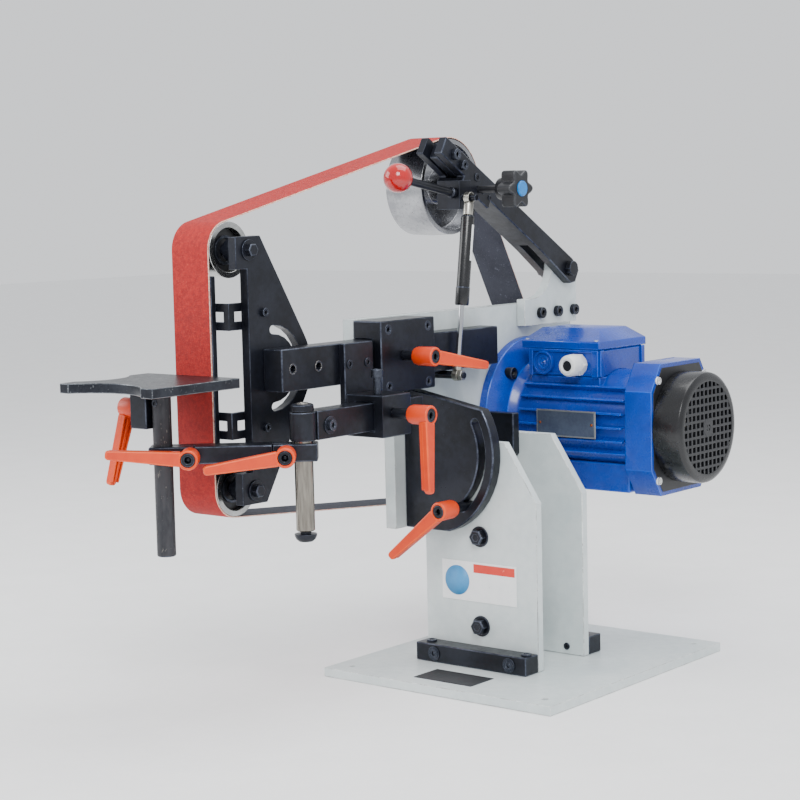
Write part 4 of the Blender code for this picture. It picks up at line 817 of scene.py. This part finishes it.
on_bright_post = Matrix.Translation((*BRIGHT_POST, 0))
on_dark_post = Matrix.Translation((*DARK_POST, 0))
shapes = [block("arm_bar", (-0.0590, -0.3000, 0.2820), (-0.0350, -0.1305, 0.3110), *BLACKED, 0.0010),
          ringed("arm_boss", [(0.0132, 0.3108), (0.0132, 0.2822), (0.0098, 0.2822), (0.0098, 0.3108)],
                 on_bright_post, *BLACKED, 0.0010, 128)]
fit(fused("rest_arm_bar", *shapes), "rest_slide", ["rest_arm"])
socket_screw("rest_arm_screw", (-0.0350, -0.2818, 0.2955), RIGHT, 0.0056, 0.0050, "rest_slide", STEEL, washer=0.0090)
dress("rest_link", *BLACKED, 0.0003, chamfer_of(2))
dress("table_knuckle", *BLACKED, 0.0003, block_chamfer)
GROUND = surface("ground_steel", rgb(146, 141, 132), rgb(108, 103, 96), rgb(84, 76, 68), 0.22, 1.0, patch=60,
                 grain=700, relief=0.05, run=(1, 1, 0.12), share=0.72)
shapes = [turned("shaft", [(0.0095, 0.3112), (0.0095, 0.1925), (0.0088, 0.1915), (0, 0.1915)], on_bright_post,
                 GROUND, GROUND, 0.0004, 96),
          ringed("washer", [(0.0030, 0.3190), (0.0098, 0.3190), (0.0113, 0.3176), (0.0115, 0.3116), (0.0030, 0.3116)],
                 on_bright_post, *BLACKED, 0.0005, 96),
          ringed("cap_screw", [(0.0030, 0.3202), (0.0060, 0.3200), (0.0062, 0.3188), (0.0020, 0.3188)],
                 on_bright_post, BRIGHT, BRIGHT, 0.0002, 64),
          turned("button", [(0.0055, 0.1920), (0.0055, 0.1888), (0.0114, 0.1885), (0.0112, 0.1862), (0.0098, 0.1832),
                            (0.0070, 0.1808),
                            (0.0030, 0.1801), (0, 0.1801)], on_bright_post, *BLACKED, 0.0003, 96)]
fit(fused("bright_post", *shapes), "rest_slide", ["swivel_post"])

DUSTY = surface("dusty_steel", rgb(62, 62, 66), rgb(40, 41, 46), rgb(120, 116, 110), 0.50, 0.5, patch=36, grain=800,
                relief=0.10, run=(1, 1, 0.3), share=0.60, spread=0.2)
tall = [(0.0030, 0.3325), (0.0088, 0.3325), (0.0095, 0.3317), (0.0095, 0.1700), (0.0086, 0.1690), (0.0030, 0.1690)]
shapes = [ringed("post", tall, on_dark_post, DUSTY, BLACK_WORN, 0.0003, 96),
          turned("plug_end", [(0.0032, 0.3322), (0.0032, 0.1694), (0, 0.1694)], on_dark_post, DUSTY,
                 DUSTY, 0, 32)]
fit(fused("dark_post", *shapes), "post", ["rest_post"])
socket_screw("post_set_screw", (-0.1557, -0.4060, 0.3235), FRONT, 0.0036, 0.0008, "post")

# The table is a ground plate gone mottled grey with use, bitten away at its left and front to clear the work.

TABLE = surface("table_steel", rgb(52, 55, 62), rgb(34, 36, 43), rgb(108, 112, 116), 0.34, 0.75, patch=34, grain=600,
                relief=0.10, share=0.60, spread=0.24)
TABLE_WORN = surface("table_steel_edge", rgb(132, 136, 140), rgb(66, 70, 78), rgb(186, 188, 190), 0.30, 0.9,
                     patch=90, grain=900, relief=0.12, share=0.58)


def bite(centre, radius, start, end, steps=48):
    """A hollow arc of the table's rim, from one angle to another."""
    turns = [math.radians(start + (end - start) * i / steps) for i in range(steps + 1)]
    return [(centre[0] + radius * math.cos(t), centre[1] + radius * math.sin(t)) for t in turns]


outline = [(-0.091, -0.471), (-0.091, -0.351), (-0.221, -0.351), *bite((-0.252, -0.4145), 0.048, 50, -50),
           (-0.221, -0.471),
           *bite((-0.158, -0.519), 0.070, 136.7, 43.3)]
fit(plate("table_plate", outline, Matrix.Translation((0, 0, 0.3364)), 0.0100, TABLE, TABLE_WORN, 0.0009), "table",
    ["rest_table"])


# ------------------------------------------------------------------ levers
# Six ratchet levers in orange plastic clamp the joints. Each has a round hub with a black socket screw in its
# end, a tapering square-tipped handle with a rib down its inner side, and a black stud with a collar.

ORANGE = surface("orange_plastic", rgb(216, 62, 0), rgb(200, 50, 0), rgb(236, 92, 20), 0.42, grain=900, relief=0.08,
                 share=0.70)
# The edge finish is a lighter copy of the orange: a painted highlight along every rounded edge, not wear.
ORANGE_EDGE_HIGHLIGHT = surface("orange_plastic_painted_edge_highlight", rgb(232, 84, 10), rgb(214, 64, 2), rgb(246, 124, 60), 0.40, grain=900,
                      relief=0.08)
HANDLE = (ORANGE, ORANGE_EDGE_HIGHLIGHT)


def lever(node, body, root, axis, grip, exposed, depth, stud=0.0040, hub=0.0270):
    """A clamping lever on the face at root. Its stud shows for a length, then goes in for a depth, and grip is the
    way its handle points."""
    root, axis, grip = Vector(root), Vector(axis).normalized(), Vector(grip).normalized()
    place = Matrix.Translation(root) @ Matrix((axis.cross(grip), grip, axis)).transposed().to_4x4()
    face = exposed + hub
    barrel = [(0.0074, face), (0.0090, face), (0.0098, face - 0.0006), (0.0103, face - 0.0018),
              (0.0100, exposed + 0.0040),
              (0.0090, exposed + 0.0006), (0.0082, exposed), (0.0035, exposed), (0.0035, face - 0.004),
              (0.0074, face - 0.004)]
    screw = [(0.0038, face - 0.0002), (0.0064, face - 0.0002), (0.0070, face - 0.0008), (0.0070, face - 0.0045),
             (0.0038, face - 0.0045)]
    shapes = [ringed("barrel", barrel, place, *HANDLE, 0.0004, 96),
              ringed("screw", screw, place, *BLACKED, 0.0003, 64),
              ringed("socket", [(0.0042, face - 0.0006), (0.0042, face - 0.0040), (0.0037, face - 0.0040),
                                (0.0037, face - 0.0006)],
                     place, BLACK, BLACK, 0, 6),
              turned("socket_floor", [(0, face - 0.0036), (0.0044, face - 0.0036), (0.0044, face - 0.0042),
                                      (0, face - 0.0042)], place,
                     BLACK, BLACK, 0, 24),
              turned("stud", [(stud, exposed + 0.002), (stud, -depth), (0, -depth)], place, *BLACKED, 0.0003, 64),
              turned("collar", [(0.0055, exposed + 0.0005), (0.0055, min(0.0012, exposed * 0.6)),
                                (0.0035, min(0.0012, exposed * 0.6))],
                     place, *BLACKED, 0.0003, 64)]
    crank = place @ Matrix.Translation((0, 0, face - 0.0065)) @ Matrix.Rotation(math.radians(10), 4, "X")
    paddle = [(-0.0075, 0.0078), (0.0075, 0.0078), (0.0046, 0.0775), (0.0040, 0.0800), (0.0022, 0.0810),
              (-0.0022, 0.0810), (-0.0040, 0.0800),
              (-0.0046, 0.0775)]
    shapes.append(plate("paddle", paddle, crank @ Matrix.Translation((0, 0, -0.0020)), 0.0070, *HANDLE, 0.0016))
    rib = [(-0.0020, 0.009), (0.0020, 0.009), (0.0012, 0.0780), (-0.0012, 0.0780)]
    shapes.append(plate("rib", rib, crank @ Matrix.Translation((0, 0, -0.0050)), 0.0060, *HANDLE, 0.0006))
    for side in (-1, 1):
        wall = [(side * 0.0052, 0.008), (side * 0.0072, 0.008), (side * 0.0046, 0.0770), (side * 0.0030, 0.0770)]
        shapes.append(plate("wall", wall, crank @ Matrix.Translation((0, 0, -0.0050)), 0.0060, *HANDLE, 0.0006))
    fit(fused(node + "_set", *shapes), body, [node])


def down_link(along, off=0.0):
    """The point that far from the bright post toward the dark one, and that far to the side."""
    heading = math.radians(218.9)
    c, s = math.cos(heading), math.sin(heading)
    return BRIGHT_POST[0] + along * c - off * s, BRIGHT_POST[1] + along * s + off * c


lever("tilt_lever", "tilt_clamp", (-0.0256, -0.0763, 0.1856), (0, -1, 0), (-0.743, 0, -0.669), 0.018, 0.024)
lever("arm_lever", "arm_clamp", (-0.0672, -0.1215, 0.3520), (1, 0, 0), (0, 0.982, -0.191), 0.017, 0.010)
lever("rest_arm_lever", "rest_arm_clamp", (-0.0222, -0.1952, 0.2995), (1, 0, 0), (0, -0.225, -0.974), 0.022, 0.0105)
start, out, down = (Vector((*down_link(*where), 0)) for where in ((0, 0), (0, 1), (1, 0)))
for node, body, along, rise in (("link_near_lever", "link_near_clamp", 0.0162, -7),
                                ("link_far_lever", "link_far_clamp", 0.1108, 6)):
    tilt = math.radians(rise)
    lever(node, body, (*down_link(along, 0.0138), 0.2705), out - start,
          (down - start) * math.cos(tilt) + Vector((0, 0, math.sin(tilt))),
          0.003, 0.015, 0.0033)
lever("table_lever", "table_clamp", (-0.1883, -0.3967, 0.3160), (-1, 0, 0), (0, -0.174, -0.985), 0.0012, 0.0400,
      hub=0.0205)


# ------------------------------------------------------------------ studio
# A plain pale floor that is no part of the grinder, three large soft lights and the camera.

FLOOR = surface("floor_paper", rgb(246, 246, 246), rgb(243, 243, 243), rgb(238, 238, 238), 0.9, grain=200,
                relief=0.01)
floor_mesh = bpy.data.meshes.new("floor")
floor_mesh.from_pydata([(-9, -9, -0.0002), (9, -9, -0.0002), (9, 9, -0.0002), (-9, 9, -0.0002)], [], [(0, 1, 2, 3)])
floor_mesh.materials.append(FLOOR)
floor = bpy.data.objects.new("floor", floor_mesh)
bpy.context.scene.collection.objects.link(floor)

world = bpy.data.worlds.new("studio")
bpy.context.scene.world = world
world.use_nodes = True
world.node_tree.nodes["Background"].inputs["Color"].default_value = (0.95, 0.97, 1.0, 1)
world.node_tree.nodes["Background"].inputs["Strength"].default_value = 1.1


def soft_light(name, where, target, size, power):
    """A square lamp that faces a point."""
    lamp = bpy.data.lights.new(name, "AREA")
    lamp.shape = "SQUARE"
    lamp.size = size
    lamp.energy = power
    light = bpy.data.objects.new(name, lamp)
    aim = (Vector(target) - Vector(where)).to_track_quat("-Z", "Y")
    light.matrix_world = Matrix.Translation(where) @ aim.to_matrix().to_4x4()
    bpy.context.scene.collection.objects.link(light)


soft_light("key", (1.3, -1.7, 1.9), (0, -0.1, 0.3), 1.0, 50)
soft_light("fill", (-1.7, -1.1, 1.1), (0, -0.1, 0.3), 1.2, 20)
soft_light("top", (0.3, 0.4, 2.2), (0, 0, 0.3), 1.6, 30)

azimuth, pitch, roll = math.radians(38.918), math.radians(5.917), math.radians(-1.308)
ahead = Vector((-math.sin(azimuth) * math.cos(pitch), math.cos(azimuth) * math.cos(pitch), -math.sin(pitch)))
level = Vector((math.cos(azimuth), math.sin(azimuth), 0))
above = level.cross(ahead)
across = level * math.cos(roll) + above * math.sin(roll)
upward = above * math.cos(roll) - level * math.sin(roll)
lens = bpy.data.cameras.new("camera")
lens.lens = 88.5
lens.sensor_width = 36
camera = bpy.data.objects.new("camera", lens)
facing_it = Matrix((across, upward, -ahead)).transposed().to_4x4()
camera.matrix_world = Matrix.Translation((1.2479, -1.7583, 0.5216)) @ facing_it
bpy.context.scene.collection.objects.link(camera)
bpy.context.scene.camera = camera
